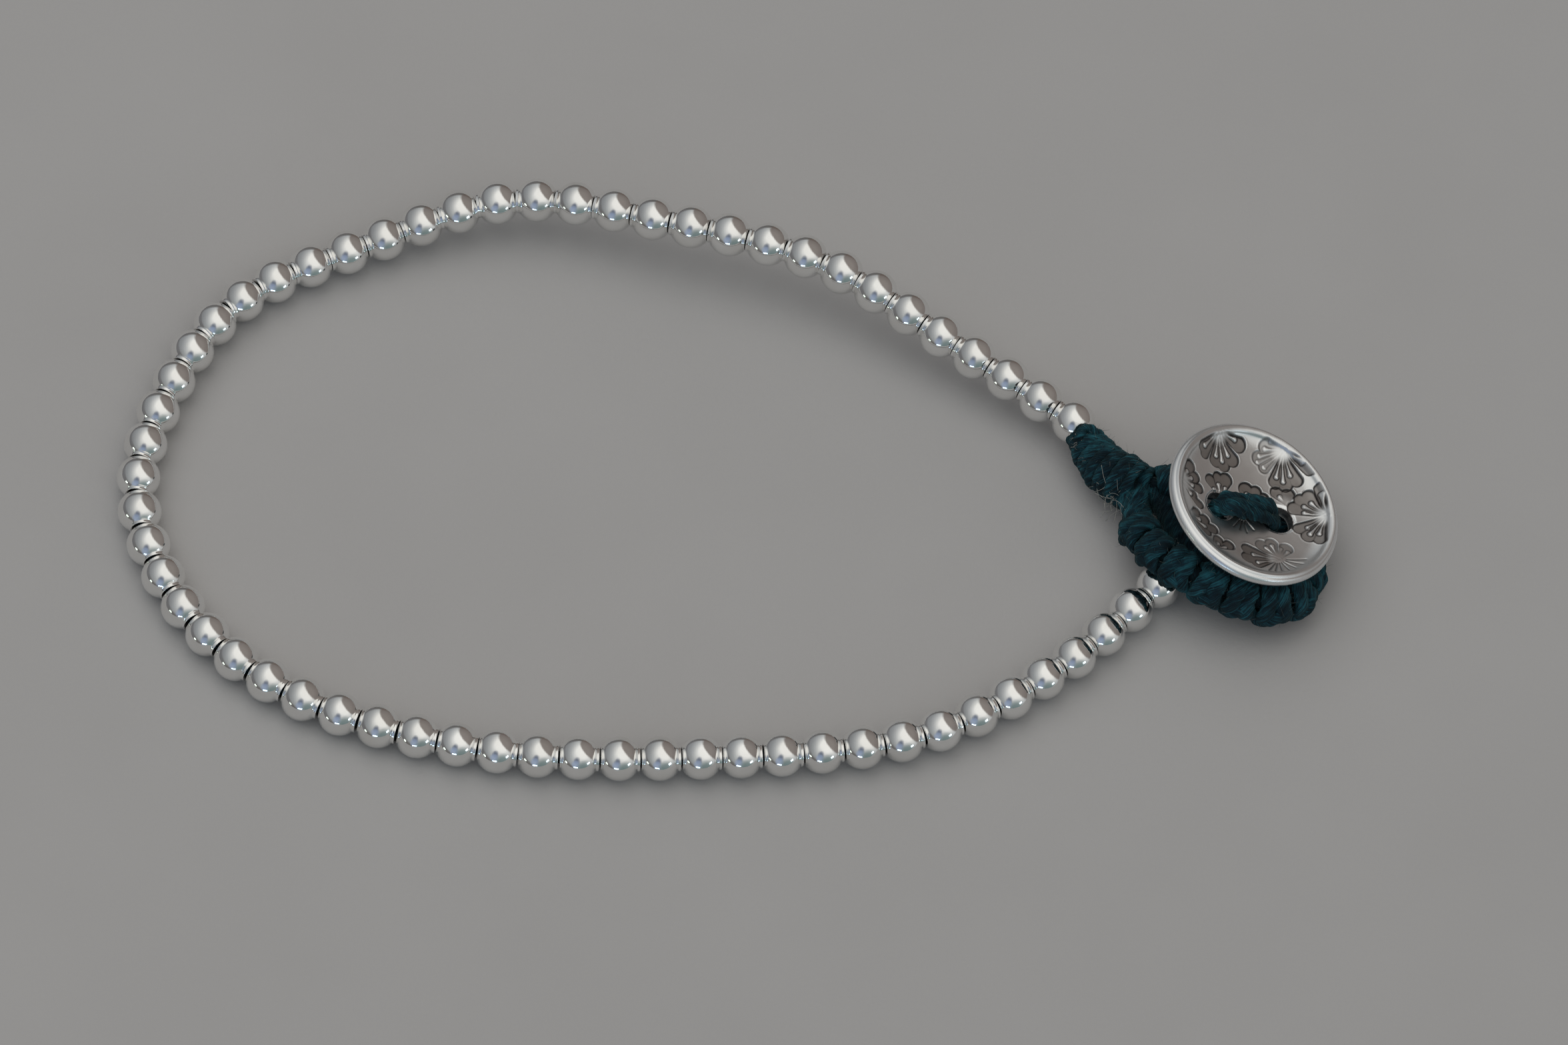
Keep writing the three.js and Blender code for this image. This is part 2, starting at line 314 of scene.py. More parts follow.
@dataclass(frozen=True)
class StampedSilver:
    """Satin silver with dark oxide left in the stamped hollows."""

    name: str = "stamped_silver"
    satin: Colour = (0.74, 0.745, 0.745)
    bright: Colour = (0.90, 0.91, 0.915)
    oxide: Colour = (0.040, 0.036, 0.036)
    floor: Colour = (0.31, 0.285, 0.27)
    roughness: float = 0.31
    cloud_scale: float = 900.0
    cloud_bump: float = 0.00005
    grain_scale: float = 9000.0
    grain_bump: float = 0.00001

    def make(self) -> bpy.types.Material:
        """Makes the material.

        Returns:
            The new material.
        """
        material, paint = new_paint(self.name)
        line = paint.stored("oxide")
        hollow = paint.stored("hollow")
        edge = paint.stored("polish")
        clouds = paint.noise(self.cloud_scale, 4.0)
        grain = paint.noise(self.grain_scale, 2.0)
        colour = paint.mix((clouds * 1.4 - 0.35).clamped() * 0.5, self.satin, self.bright)
        colour = paint.mix(edge, colour, self.bright)
        colour = paint.mix(hollow * (0.72 + clouds * 0.4), colour, self.floor)
        colour = paint.mix((line * (0.75 + clouds * 0.5)).clamped(), colour, self.oxide)
        rough = self.roughness + (clouds - 0.5) * 0.10 + hollow * 0.14 + line * 0.2 - edge * 0.06
        soft = paint.bump(clouds, self.cloud_bump, 0.2)
        fine = paint.bump(grain, self.grain_bump, 0.2, soft)
        paint.finish(Base_Color=colour, Metallic=1.0, Roughness=rough.clamped(), Normal=fine)
        return material


@dataclass(frozen=True)
class SpunCord:
    """Matt spun cord, dark teal, with fibres that follow its twist, and painted shade in its grooves and on
    its hidden parts.
    """

    name: str = "spun_cord"
    deep: Colour = (0.0016, 0.0058, 0.0100)
    body: Colour = (0.0042, 0.0240, 0.0375)
    light: Colour = (0.0210, 0.1300, 0.1680)
    sheen: Colour = (0.20, 0.55, 0.52)
    tones: Point = (0.38, 0.49, 0.62)
    roughness: float = 0.80
    drawn_out: Point = (0.8, 6.0, 6.0)
    fibre_scale: float = 1.9
    streak_scale: float = 0.8
    fibre_bump: float = 0.00030
    tuft_scale: float = 1300.0
    tuft_bump: float = 0.00026
    patch_scale: float = 420.0

    def make(self) -> bpy.types.Material:
        """Makes the material.

        Returns:
            The new material.
        """
        material, paint = new_paint(self.name)
        strand = paint.stored("strand", vector=True)
        settings = {"operation": "MULTIPLY"}
        drawn = paint.node("ShaderNodeVectorMath", settings, {0: strand, 1: self.drawn_out})
        fibres = paint.noise(self.fibre_scale, 4.0, drawn)
        streaks = paint.noise(self.streak_scale, 3.0, drawn)
        tufts = paint.noise(self.tuft_scale, 3.0)
        patches = paint.noise(self.patch_scale, 2.0)
        mixed = (fibres * 0.40 + streaks * 0.35 + tufts * 0.25 + (patches - 0.5) * 0.35).clamped()
        # Painted shade: the stored shade darkens the colour towards deep.
        depth = paint.stored("shade")
        colour = paint.ramp(mixed, list(zip(self.tones, (self.deep, self.body, self.light))))
        colour = paint.mix(depth, colour, self.deep)
        soft = paint.bump(tufts, self.tuft_bump, 0.65)
        normal = paint.bump(fibres * 0.5 + streaks * 0.5, self.fibre_bump, 1.0, soft)
        rough = self.roughness + (fibres - 0.5) * 0.3
        paint.finish(
            Base_Color=colour, Roughness=rough.clamped(), Normal=normal,
            Sheen_Weight=0.10, Sheen_Roughness=0.4, Sheen_Tint=(*self.sheen, 1.0),
            Specular_IOR_Level=0.22,
        )
        return material


@dataclass(frozen=True)
class LooseFibre:
    """Fine hairs that stand off the cord."""

    name: str = "loose_fibre"
    dark: Colour = (0.010, 0.055, 0.060)
    pale: Colour = (0.40, 0.39, 0.36)
    roughness: float = 0.7
    mottle_scale: float = 1500.0

    def make(self) -> bpy.types.Material:
        """Makes the material.

        Returns:
            The new material.
        """
        material, paint = new_paint(self.name)
        tone = paint.stored("shade") * (0.7 + paint.noise(self.mottle_scale, 1.0) * 0.6)
        colour = paint.mix(tone.clamped(), self.dark, self.pale)
        paint.finish(Base_Color=colour, Roughness=self.roughness, Specular_IOR_Level=0.3)
        return material


@dataclass(frozen=True)
class PaleFloor:
    """The plain pale surface that the bracelet lies on."""

    name: str = "pale_floor"
    light: Colour = (0.47, 0.46, 0.455)
    shade: Colour = (0.43, 0.42, 0.415)
    roughness: float = 0.85
    cloud_scale: float = 60.0
    grain_scale: float = 2500.0
    grain_bump: float = 0.0001

    def make(self) -> bpy.types.Material:
        """Makes the material.

        Returns:
            The new material.
        """
        material, paint = new_paint(self.name)
        colour = paint.mix(paint.noise(self.cloud_scale, 4.0), self.shade, self.light)
        normal = paint.bump(paint.noise(self.grain_scale, 3.0), self.grain_bump, 0.25)
        paint.finish(Base_Color=colour, Roughness=self.roughness, Normal=normal)
        return material


@dataclass
class Finishes:
    """Every material of the scene."""

    beads: bpy.types.Material
    button: bpy.types.Material
    cord: bpy.types.Material
    fibre: bpy.types.Material
    floor: bpy.types.Material

    @classmethod
    def make(cls) -> "Finishes":
        """Makes all the materials."""
        return cls(
            PolishedSilver().make(), StampedSilver().make(), SpunCord().make(),
            LooseFibre().make(), PaleFloor().make(),
        )


# Curves and meshes


class Route:
    """A smooth curve through places, measured by its length."""

    def __init__(self, places: Sequence[Sequence[float]], closed: bool = False, steps: int = 1500) -> None:
        """Draws the curve.

        Args:
            places: The places that it passes, in millimetres.
            closed: Whether the last place joins the first.
            steps: How many short lines stand for the curve.
        """
        knots = np.asarray(places, float)
        shares = np.linspace(0.0, 1.0, steps + 1)
        self.closed = closed
        self.points = np.array([self._through(knots, share, closed) for share in shares])
        lengths = np.linalg.norm(np.diff(self.points, axis=0), axis=1)
        self.run = np.concatenate([[0.0], np.cumsum(lengths)])
        self.length = float(self.run[-1])

    @staticmethod
    def _through(knots: np.ndarray, share: float, closed: bool) -> np.ndarray:
        """Finds a place on the centripetal curve.

        Args:
            knots: The places that it passes.
            share: Where on the curve, from 0 to 1.
            closed: Whether the last place joins the first.

        Returns:
            The place.
        """
        count = len(knots)
        spans = count if closed else count - 1
        position = spans * share
        index = min(int(position), spans - 1)
        weight = position - index
        if closed:
            before, here, there, after = (knots[(index + k) % count] for k in (-1, 0, 1, 2))
        else:
            here, there = knots[index], knots[index + 1]
            before = knots[index - 1] if index > 0 else 2 * here - there
            after = knots[index + 2] if index + 2 < count else 2 * there - here
        pairs = ((before, here), (here, there), (there, after))
        gaps = [max(np.linalg.norm(b - a) ** 0.5, 1e-6) for a, b in pairs]
        leave = (here - before) / gaps[0] - (there - before) / (gaps[0] + gaps[1]) + (there - here) / gaps[1]
        reach = (there - here) / gaps[1] - (after - here) / (gaps[1] + gaps[2]) + (after - there) / gaps[2]
        leave, reach = leave * gaps[1], reach * gaps[1]
        square = -3 * here + 3 * there - 2 * leave - reach
        cube = 2 * here - 2 * there + leave + reach
        return here + leave * weight + square * weight**2 + cube * weight**3

    def at(self, shares: np.ndarray | float) -> np.ndarray:
        """Finds places by their share of the length."""
        travelled = np.asarray(shares, float) * self.length
        return np.stack([np.interp(travelled, self.run, self.points[:, axis]) for axis in range(3)], -1)

    def along(self, shares: np.ndarray | float) -> np.ndarray:
        """Finds directions by their share of the length.

        Args:
            shares: Where on the curve, from 0 to 1.

        Returns:
            A direction of length one for each share.
        """
        shares = np.asarray(shares, float)
        step = 0.002
        if self.closed:
            line = self.at((shares + step) % 1.0) - self.at((shares - step) % 1.0)
        else:
            line = self.at(np.clip(shares + step, 0, 1)) - self.at(np.clip(shares - step, 0, 1))
        return unit(line)


def unit(vectors: np.ndarray) -> np.ndarray:
    """Gives vectors a length of one."""
    return vectors / np.maximum(np.linalg.norm(vectors, axis=-1, keepdims=True), 1e-12)


def round_angles(count: int) -> np.ndarray:
    """Shares a full turn out evenly."""
    return np.arange(count) / count * TURN


def waves(value: np.ndarray, *parts: tuple[float, float, float]) -> np.ndarray:
    """Adds up sine waves, each with its size, its pace and its shift."""
    return sum(size * np.sin(value * pace + shift) for size, pace, shift in parts)


def ridge(distance: np.ndarray, middle: float, width: float) -> np.ndarray:
    """Rises smoothly to 1 where a distance is at its middle, and falls to 0 on both sides."""
    return np.exp(-((distance - middle) / width) ** 2)


def ease(value: np.ndarray, width: float) -> np.ndarray:
    """Rises smoothly from 0 to 1 as value goes from 0 to width."""
    share = np.clip(value / width, 0.0, 1.0)
    return share * share * (3.0 - 2.0 * share)


def frames_on(along: np.ndarray, top: np.ndarray = UP) -> tuple[np.ndarray, np.ndarray]:
    """Finds what is up and what is across on a curve, with up as near to top as it can be."""
    upward = unit(top - along * (along @ top)[:, None])
    return upward, np.cross(along, upward)


def carried_frames(points: np.ndarray, closed: bool) -> tuple[np.ndarray, np.ndarray]:
    """Carries a frame along a line of points without twist.

    Args:
        points: The line.
        closed: Whether its last point joins its first.

    Returns:
        Two directions square to the line at each point.
    """
    if closed:
        along = unit(np.roll(points, -1, 0) - np.roll(points, 1, 0))
    else:
        along = unit(np.gradient(points, axis=0))
    guess = UP if abs(along[0] @ UP) < 0.9 else np.array([1.0, 0.0, 0.0])
    first = unit(guess - along[0] * (guess @ along[0]))
    firsts = [first]
    for direction in along[1:]:
        first = unit(first - direction * (first @ direction))
        firsts.append(first)
    firsts_array = np.array(firsts)
    seconds = np.cross(along, firsts_array)
    if closed:
        last = unit(firsts_array[-1] - along[0] * (firsts_array[-1] @ along[0]))
        slip = math.atan2(last @ seconds[0], last @ firsts_array[0])
        back = -slip * np.arange(len(points)) / len(points)
        turned = firsts_array * np.cos(back)[:, None] + seconds * np.sin(back)[:, None]
        firsts_array, seconds = turned, np.cross(along, turned)
    return firsts_array, seconds


class MeshMaker:
    """Gathers grids of points into one mesh, with numbers stored at each point."""

    def __init__(self) -> None:
        """Starts with nothing."""
        self.points: list[np.ndarray] = []
        self.faces: list[list[int]] = []
        self.stored: dict[str, list[np.ndarray]] = {}
        self.count = 0

    def add(self, points: np.ndarray, faces: Sequence[Sequence[int]], **stored: np.ndarray) -> None:
        """Adds points and faces.

        Args:
            points: The points, in millimetres.
            faces: The corners of each face, by their number among these points.
            stored: A number or a vector for each point, by name.
        """
        self.points.append(points)
        self.faces.extend([[corner + self.count for corner in face] for face in faces])
        for name, values in stored.items():
            self.stored.setdefault(name, []).append(np.asarray(values, float))
        self.count += len(points)

    def add_grid(
        self, grid: np.ndarray, closed: bool = False, capped: bool = True, **stored: np.ndarray
    ) -> None:
        """Adds a skin over rings of points.

        Args:
            grid: The points, by ring and then by place on the ring.
            closed: Whether the last ring joins the first.
            capped: Whether the ends are closed by a face each.
            stored: Values by name, shaped as the grid is.
        """
        rings, sides = grid.shape[:2]
        ring = np.arange(rings if closed else rings - 1)[:, None]
        here = ring * sides
        there = ((ring + 1) % rings) * sides
        side = np.arange(sides)[None, :]
        following = (side + 1) % sides
        quads = np.stack([here + side, here + following, there + following, there + side], -1).reshape(-1, 4)
        faces = quads.tolist()
        if capped and not closed:
            faces.append(list(range(sides))[::-1])
            faces.append(list(range((rings - 1) * sides, rings * sides)))
        flat = {name: values.reshape(rings * sides, *values.shape[2:]) for name, values in stored.items()}
        self.add(grid.reshape(-1, 3), faces, **flat)

    def build(self, name: str, material: bpy.types.Material) -> bpy.types.Object:
        """Makes the object.

        Args:
            name: The piece's name.
            material: Its material.

        Returns:
            The new object, in metres.
        """
        mesh = bpy.data.meshes.new(name)
        points = np.concatenate(self.points) * MM
        mesh.from_pydata(points.tolist(), [], self.faces)
        for key, parts in self.stored.items():
            values = np.concatenate(parts)
            kind, part = ("FLOAT", "value") if values.ndim == 1 else ("FLOAT_VECTOR", "vector")
            attribute = mesh.attributes.new(key, kind, "POINT")
            attribute.data.foreach_set(part, values.astype(np.float32).ravel())
        mesh.shade_smooth()
        mesh.materials.append(material)
        mesh.update()
        made = bpy.data.objects.new(name, mesh)
        bpy.context.scene.collection.objects.link(made)
        return made


@dataclass(frozen=True)
class Strand:
    """How a cord is spun: its thickness, its plies and how they twist."""

    radius: float
    plies: int = 2
    pitch: float = 2.4
    groove: float = 0.16
    sides: int = 14
    lumps: float = 0.035

    def lay(
        self, maker: MeshMaker, points: np.ndarray, closed: bool = False, number: float = 0.0,
        radii: np.ndarray | None = None, shade: float = 0.0,
        outward: np.ndarray | None = None, flat: float = 1.0,
    ) -> None:
        """Lays the strand along a line of points.

        Args:
            maker: The mesh that it is added to.
            points: The line, in millimetres.
            closed: Whether the line joins its own start.
            number: A number that sets its fibres apart from other strands'.
            radii: Its thickness along the line, as shares of the radius.
            shade: A value from 0 to 1, added to the painted shade of the grooves and stored; the cord darkens
                by it as painted shade, the loose fibres grow paler by it.
            outward: The way that it is pressed flat at each point, if it is.
            flat: How thick it is that way, as a share of the radius.
        """
        first, second = carried_frames(points, closed)
        if outward is not None:
            along = np.cross(first, second)
            first = unit(outward - along * (outward * along).sum(1)[:, None])
            second = np.cross(along, first)
        steps = np.linalg.norm(np.diff(points, axis=0), axis=1)
        run = np.concatenate([[0.0], np.cumsum(steps)])
        whole = run[-1] + (np.linalg.norm(points[0] - points[-1]) if closed else 0.0)
        turns = max(1, round(whole / self.pitch)) if closed else whole / self.pitch
        twist = TURN * turns * run / whole
        angles = round_angles(self.sides)
        turned = angles[None, :] - twist[:, None]
        phase = turned * self.plies / 2.0
        swell = 1.0 - self.groove * (1.0 - np.abs(np.cos(phase)) ** 0.7)
        lump = sum(
            np.sin(run[:, None] * pace + rounds * angles[None, :] + shifts * number)
            for pace, rounds, shifts in LUMP_WAVES
        )
        size = self.radius * (swell + self.lumps * lump)
        size = size * (1.0 if radii is None else np.asarray(radii)[:, None])
        high, wide = first[:, None, :] * flat, second[:, None, :]
        spread = high * np.cos(angles)[None, :, None] + wide * np.sin(angles)[None, :, None]
        grid = points[:, None, :] + spread * size[:, :, None]
        strand = np.stack([
            np.broadcast_to(run[:, None], turned.shape),
            np.sin(turned) * self.radius,
            np.cos(turned) * self.radius + number * FIBRE_STEP,
        ], -1)
        # Painted shade: darker in the grooves between the plies, plus the strand's own painted shade, stored
        # as shade.
        groove_shade = (1.0 - np.abs(np.cos(phase))) ** 2 * 0.7
        tone = np.clip(groove_shade + shade, 0.0, 1.0)
        maker.add_grid(grid, closed=closed, strand=strand, shade=tone)


def settle(piece: bpy.types.Object, slot: Slot, *nodes: str) -> bpy.types.Object:
    """Puts a piece on the bracelet's body.

    Args:
        piece: The piece.
        slot: Not used.
        nodes: The solids that it stands for, if any.

    Returns:
        The piece.
    """
    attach(piece, ROOT)
    if nodes:
        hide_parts(*nodes)
    return piece


# The bracelet's own parts


@dataclass
class BeadString:
    """A run of ball beads with the thread that shows between them."""

    name: str
    node: str
    first: int
    last: int
    count: int = 61
    diameter: float = 3.0
    length: float = 2.5
    plain_reach: float = 1.26
    shoulder: float = 1.225
    collar: float = 0.862
    collar_reach: float = 1.405
    bore: float = 0.60
    bore_depth: float = 0.45
    segments: int = 44
    sweep_steps: int = 34
    lean: float = 0.012
    oval: float = 0.006
    shrink: float = 0.004
    thread: Strand = Strand(0.44, plies=2, pitch=1.9, groove=0.2, sides=12)
    thread_steps: int = 14
    thread_shade: float = 0.25
    seed: int = 11

    def centre(self, route: Route, index: int) -> np.ndarray:
        """Finds the middle of one bead.

        Args:
            route: The string's route.
            index: The bead's number, from 0.

        Returns:
            The place, which is never lower than a bead that lies on the floor.
        """
        place = route.at((index + 0.5) / self.count)
        place[2] = max(place[2], self.diameter / 2)
        return place

    def profile(self) -> tuple[np.ndarray, np.ndarray, np.ndarray]:
        """Draws the outline of a bead from one end to the other.

        Returns:
            The places along the axis, the radii, and the tarnish at each.
        """
        ball = self.diameter / 2
        back, end, ring = self.plain_reach, self.collar_reach, self.collar
        sweep = np.linspace(math.acos(-back / ball), math.acos(self.shoulder / ball), self.sweep_steps)
        inside = self.length / 2 - self.bore_depth
        round_part = [(ball * math.cos(turn), ball * math.sin(turn), 0.0) for turn in sweep]
        face = math.sqrt(ball**2 - back**2)
        plain = [
            (-inside, self.bore - 0.05, 1.0), (-back + 0.03, self.bore, 0.8),
            (-back - 0.02, self.bore + 0.06, 0.4), (-back - 0.03, face - 0.12, 0.2),
            (-back - 0.02, face - 0.04, 0.1),
        ]
        collared = [
            (self.shoulder + 0.02, ring - 0.003, 0.06), (end - 0.05, ring, 0.0),
            (end - 0.02, ring - 0.008, 0.0), (end - 0.005, ring - 0.024, 0.0), (end, ring - 0.060, 0.2),
            (end, self.bore + 0.06, 0.4), (end - 0.03, self.bore, 0.8), (inside, self.bore - 0.05, 1.0),
        ]
        rows = np.array(plain + round_part + collared)
        return rows[:, 0], rows[:, 1], rows[:, 2]

    def build(self, finishes: Finishes, route: Route) -> list[bpy.types.Object]:
        """Makes the beads and their thread.

        Args:
            finishes: The materials.
            route: The string's route.

        Returns:
            The beads and the thread.
        """
        random = np.random.default_rng(self.seed)
        along, radius, tarnish = self.profile()
        angles = round_angles(self.segments)
        beads = MeshMaker()
        for index in range(self.first, self.last + 1):
            middle = self.centre(route, index)
            before = self.centre(route, max(index - 1, 0))
            after = self.centre(route, min(index + 1, self.count - 1))
            axis = unit(unit(after - before) + random.normal(0.0, self.lean, 3))
            upward, across = (row[0] for row in frames_on(axis[None, :]))
            wobble = 1.0 + self.oval * np.cos(2 * angles + random.uniform(0, TURN))
            wobble = wobble * (1.0 - abs(random.normal(0.0, self.shrink)))
            ring = upward[None, :] * np.cos(angles)[:, None] + across[None, :] * np.sin(angles)[:, None]
            size = radius[:, None] * wobble[None, :]
            grid = middle + axis * along[:, None, None] + ring[None, :, :] * size[:, :, None]
            grid[:, :, 2] = np.maximum(grid[:, :, 2], 0.0)
            dirt = np.repeat(tarnish[:, None], self.segments, 1)
            beads.add_grid(grid, capped=False, tarnish=dirt)
        thread = MeshMaker()
        start = max((self.first - 0.15) / self.count, 0.004)
        stop = min((self.last + 1.15) / self.count, 0.998)
        line = route.at(np.linspace(start, stop, self.thread_steps * (self.last - self.first + 1)))
        line[:, 2] = np.maximum(line[:, 2], self.diameter / 2)
        # The thread between the beads takes painted shade.
        self.thread.lay(thread, line, number=3.0, shade=self.thread_shade)
        return [
            settle(beads.build(self.name, finishes.beads), Slot.BEADS, self.node),
            settle(thread.build(self.name + "_thread", finishes.cord), Slot.CORD),
        ]


def wound(route: Route, shares: np.ndarray, angles: np.ndarray, radii: np.ndarray) -> np.ndarray:
    """Draws a line wound round a route.

    Args:
        route: The route.
        shares: Where along it each point is.
        angles: How far round it each point is, from the top.
        radii: How far from it each point is.

    Returns:
        The points.
    """
    upward, across = frames_on(route.along(shares))
    spread = upward * np.cos(angles)[:, None] + across * np.sin(angles)[:, None]
    return route.at(shares) + spread * radii[:, None]


@dataclass
class CordNeck:
    """The wound neck between the string and the loop."""

    wraps: float = 11.5
    shares: tuple[float, ...] = (0.0, 0.05, 0.12, 0.22, 0.45, 0.68, 0.86, 1.0)
    radii: tuple[float, ...] = (0.82, 1.02, 1.22, 1.42, 1.66, 1.84, 1.92, 1.86)
    strand: Strand = Strand(0.40, plies=3, pitch=2.6, groove=0.08, sides=14)
    flat: float = 0.66
    steps_per_wrap: int = 48
    body_sides: int = 24
    body_shade: float = 0.55
    knot: Strand = Strand(0.36, plies=2, pitch=1.3, groove=0.2, sides=12)
    knot_share: float = 0.13
    knot_turns: float = 1.7

    def radius(self, share: np.ndarray) -> np.ndarray:
        """The neck's outer radius along it."""
        return np.interp(share, self.shares, self.radii)

    def build(self, finishes: Finishes) -> bpy.types.Object:
        """Makes the neck.

        Args:
            finishes: The materials.

        Returns:
            The neck.
        """
        route = Route(NECK_ROUTE)
        maker = MeshMaker()
        turns = np.linspace(0.0, self.wraps, int(self.wraps * self.steps_per_wrap))
        wander = waves(turns, (0.012, 3.7, 0.0), (0.008, 9.1, 1.0))
        shares = np.clip(0.02 + 0.94 * turns / self.wraps + wander, 0.0, 1.0)
        bulge = waves(turns, (0.05, 2.3, 0.0), (0.04, 5.1, 1.0))
        tuck = np.minimum(np.minimum(turns, self.wraps - turns) / 0.7, 1.0)
        radii = (self.radius(shares) - self.strand.radius * self.flat) * (0.78 + 0.22 * tuck) + bulge
        line = wound(route, shares, turns * TURN, radii)
        self.strand.lay(maker, line, outward=unit(line - route.at(shares)), flat=self.flat)
        # The core under the wraps takes painted shade.
        core = np.linspace(0.02, 0.97, 30)
        dome = np.sqrt(np.clip(1.0 - (2 * core - 1.0) ** 8, 0.02, 1.0))
        body = Strand(1.0, plies=1, groove=0.0, sides=self.body_sides)
        inner = (self.radius(core) - self.strand.radius) * dome
        body.lay(maker, route.at(core), radii=inner, shade=self.body_shade)
        self.start_knot(maker, route)
        return settle(maker.build("cord_neck_wound", finishes.cord), Slot.CORD, "cord_neck")

    def start_knot(self, maker: MeshMaker, route: Route) -> None:
        """Adds the small knot on top of the neck, beside the first bead.

        Args:
            maker: The mesh that it is added to.
            route: The neck's route.
        """
        turns = np.linspace(0.0, self.knot_turns, 60)
        shares = self.knot_share + 0.045 * np.sin(turns * TURN)
        angles = -1.1 + turns * 1.5
        radii = 1.04 + 0.22 * np.sin(turns * math.pi / self.knot_turns)
        self.knot.lay(maker, wound(route, shares, angles, radii), number=12.0)


@dataclass
class KnottedLoop:
    """The loop: pairs of wraps side by side on a core, with a chained ridge along the outer edge."""

    knots: int = 15
    first_knot: float = 0.085
    turns: int = 2
    radius: float = 1.27
    flat: float = 0.66
    purl_height: float = 0.42
    purl_angle: float = math.radians(115.0)
    purl_spread: float = math.radians(55.0)
    wrap_pitch: float = 0.37
    steps_per_turn: int = 36
    jump_share: float = 0.16
    strand: Strand = Strand(0.62, plies=3, pitch=3.6, groove=0.10, sides=20, lumps=0.045)
    chain: Strand = Strand(0.46, plies=2, pitch=2.1, groove=0.14, sides=14)
    inner: Strand = Strand(0.80, plies=3, pitch=3.4, groove=0.12, sides=18)
    leg: Strand = Strand(1.12, plies=3, pitch=7.5, groove=0.10, sides=26, lumps=0.025)
    core: Strand = Strand(0.62, plies=2, pitch=2.4, groove=0.15, sides=16)
    inner_route: tuple[Point, ...] = (
        (28.2, 3.2, 2.3), (29.5, 2.1, 2.4), (30.4, 0.5, 2.4), (31.5, -1.1, 2.5), (33.0, -2.7, 2.7),
    )

    def wraps(self, route: Route) -> tuple[np.ndarray, np.ndarray]:
        """Draws the line of the wraps, from one end of the loop to the other.

        Args:
            route: The loop's route.

        Returns:
            The line, and the way out of the loop's core at each point.
        """
        whole = self.knots * self.turns
        turn = np.linspace(0.0, whole, whole * self.steps_per_turn + 1)
        knot = np.minimum(np.floor(turn / self.turns), self.knots - 1)
        inside = turn - knot * self.turns
        middle = 0.5 + self.wrap_pitch * (inside - self.turns / 2.0)
        jump = (1.0 - self.wrap_pitch * self.turns) / 2.0
        start = np.clip(1.0 - inside / self.jump_share, 0.0, 1.0)
        end = np.clip(1.0 - (self.turns - inside) / self.jump_share, 0.0, 1.0)
        shares = (knot + middle - jump * start + jump * end) / self.knots
        angles = self.purl_angle + turn * TURN
        slant = 0.10 * np.cos(angles + 0.6) + 0.04 * np.sin(knot * 2.4) * np.cos(angles)
        shares = np.clip(shares + slant / self.knots, 0.004, 0.996)
        shares = self.first_knot + (1.0 - self.first_knot) * shares
        off = (turn - np.round(turn)) * TURN
        crest = np.where(np.abs(off) < self.purl_spread, np.cos(off / self.purl_spread * math.pi / 2), 0.0)
        uneven = waves(turn, (0.05, 1.7, 0.0), (0.03, 4.3, 2.0))
        ends = np.minimum(np.minimum(turn, whole - turn), 1.0)
        fat = 0.05 * np.sin(knot * 5.3)
        middle_radius = self.radius - self.strand.radius * self.flat
        radii = (middle_radius + self.purl_height * crest * 0.8 + uneven + fat) * (0.8 + 0.2 * ends)
        line = wound(route, shares, angles, radii)
        return line, unit(line - route.at(shares))

    def chain_line(self, route: Route) -> np.ndarray:
        """Draws the line of the chained ridge along the outer edge.

        Args:
            route: The loop's route.

        Returns:
            The line.
        """
        shares = np.linspace(self.first_knot + 0.02, 0.95, self.knots * 24)
        beat = (shares - self.first_knot) / (1.0 - self.first_knot) * self.knots * TURN
        angles = self.purl_angle + 0.30 * np.sin(beat)
        radii = self.radius + self.purl_height - self.chain.radius - 0.06 - 0.20 * np.cos(beat)
        return wound(route, shares, angles, radii)

    def build(self, finishes: Finishes) -> bpy.types.Object:
        """Makes the loop.

        Args:
            finishes: The materials.

        Returns:
            The loop.
        """
        route = Route(LOOP_ROUTE)
        maker = MeshMaker()
        line, outward = self.wraps(route)
        self.strand.lay(maker, line, number=1.0, outward=outward, flat=self.flat)
        self.chain.lay(maker, self.chain_line(route), number=2.0)
        # The inner strand under the button takes painted shade.
        under = Route(self.inner_route)
        self.inner.lay(maker, under.at(np.linspace(0.0, 1.0, 60)), number=13.0, shade=0.35)
        leg = np.linspace(0.0, self.first_knot + 0.03, 60)
        swollen = 0.96 + 0.04 * np.sin(leg * 60.0)
        self.leg.lay(maker, route.at(leg), number=14.0, radii=swollen)
        # The core under the wraps takes painted shade.
        self.core.lay(maker, route.at(np.linspace(0.002, 0.998, 160)), number=4.0, shade=0.85)
        return settle(maker.build("knotted_loop_cord", finishes.cord), Slot.CORD, "knotted_loop")


@dataclass(frozen=True)
class Blossom:
    """One stamped group: sunk lobes that open from a hub, with raised drops inside."""

    hub: Place
    lobes: tuple[tuple[float, float, float], ...] = ()
    drops: tuple[Place, ...] = ()
    rays: tuple[Place, ...] = ()
    depth: float = 1.0


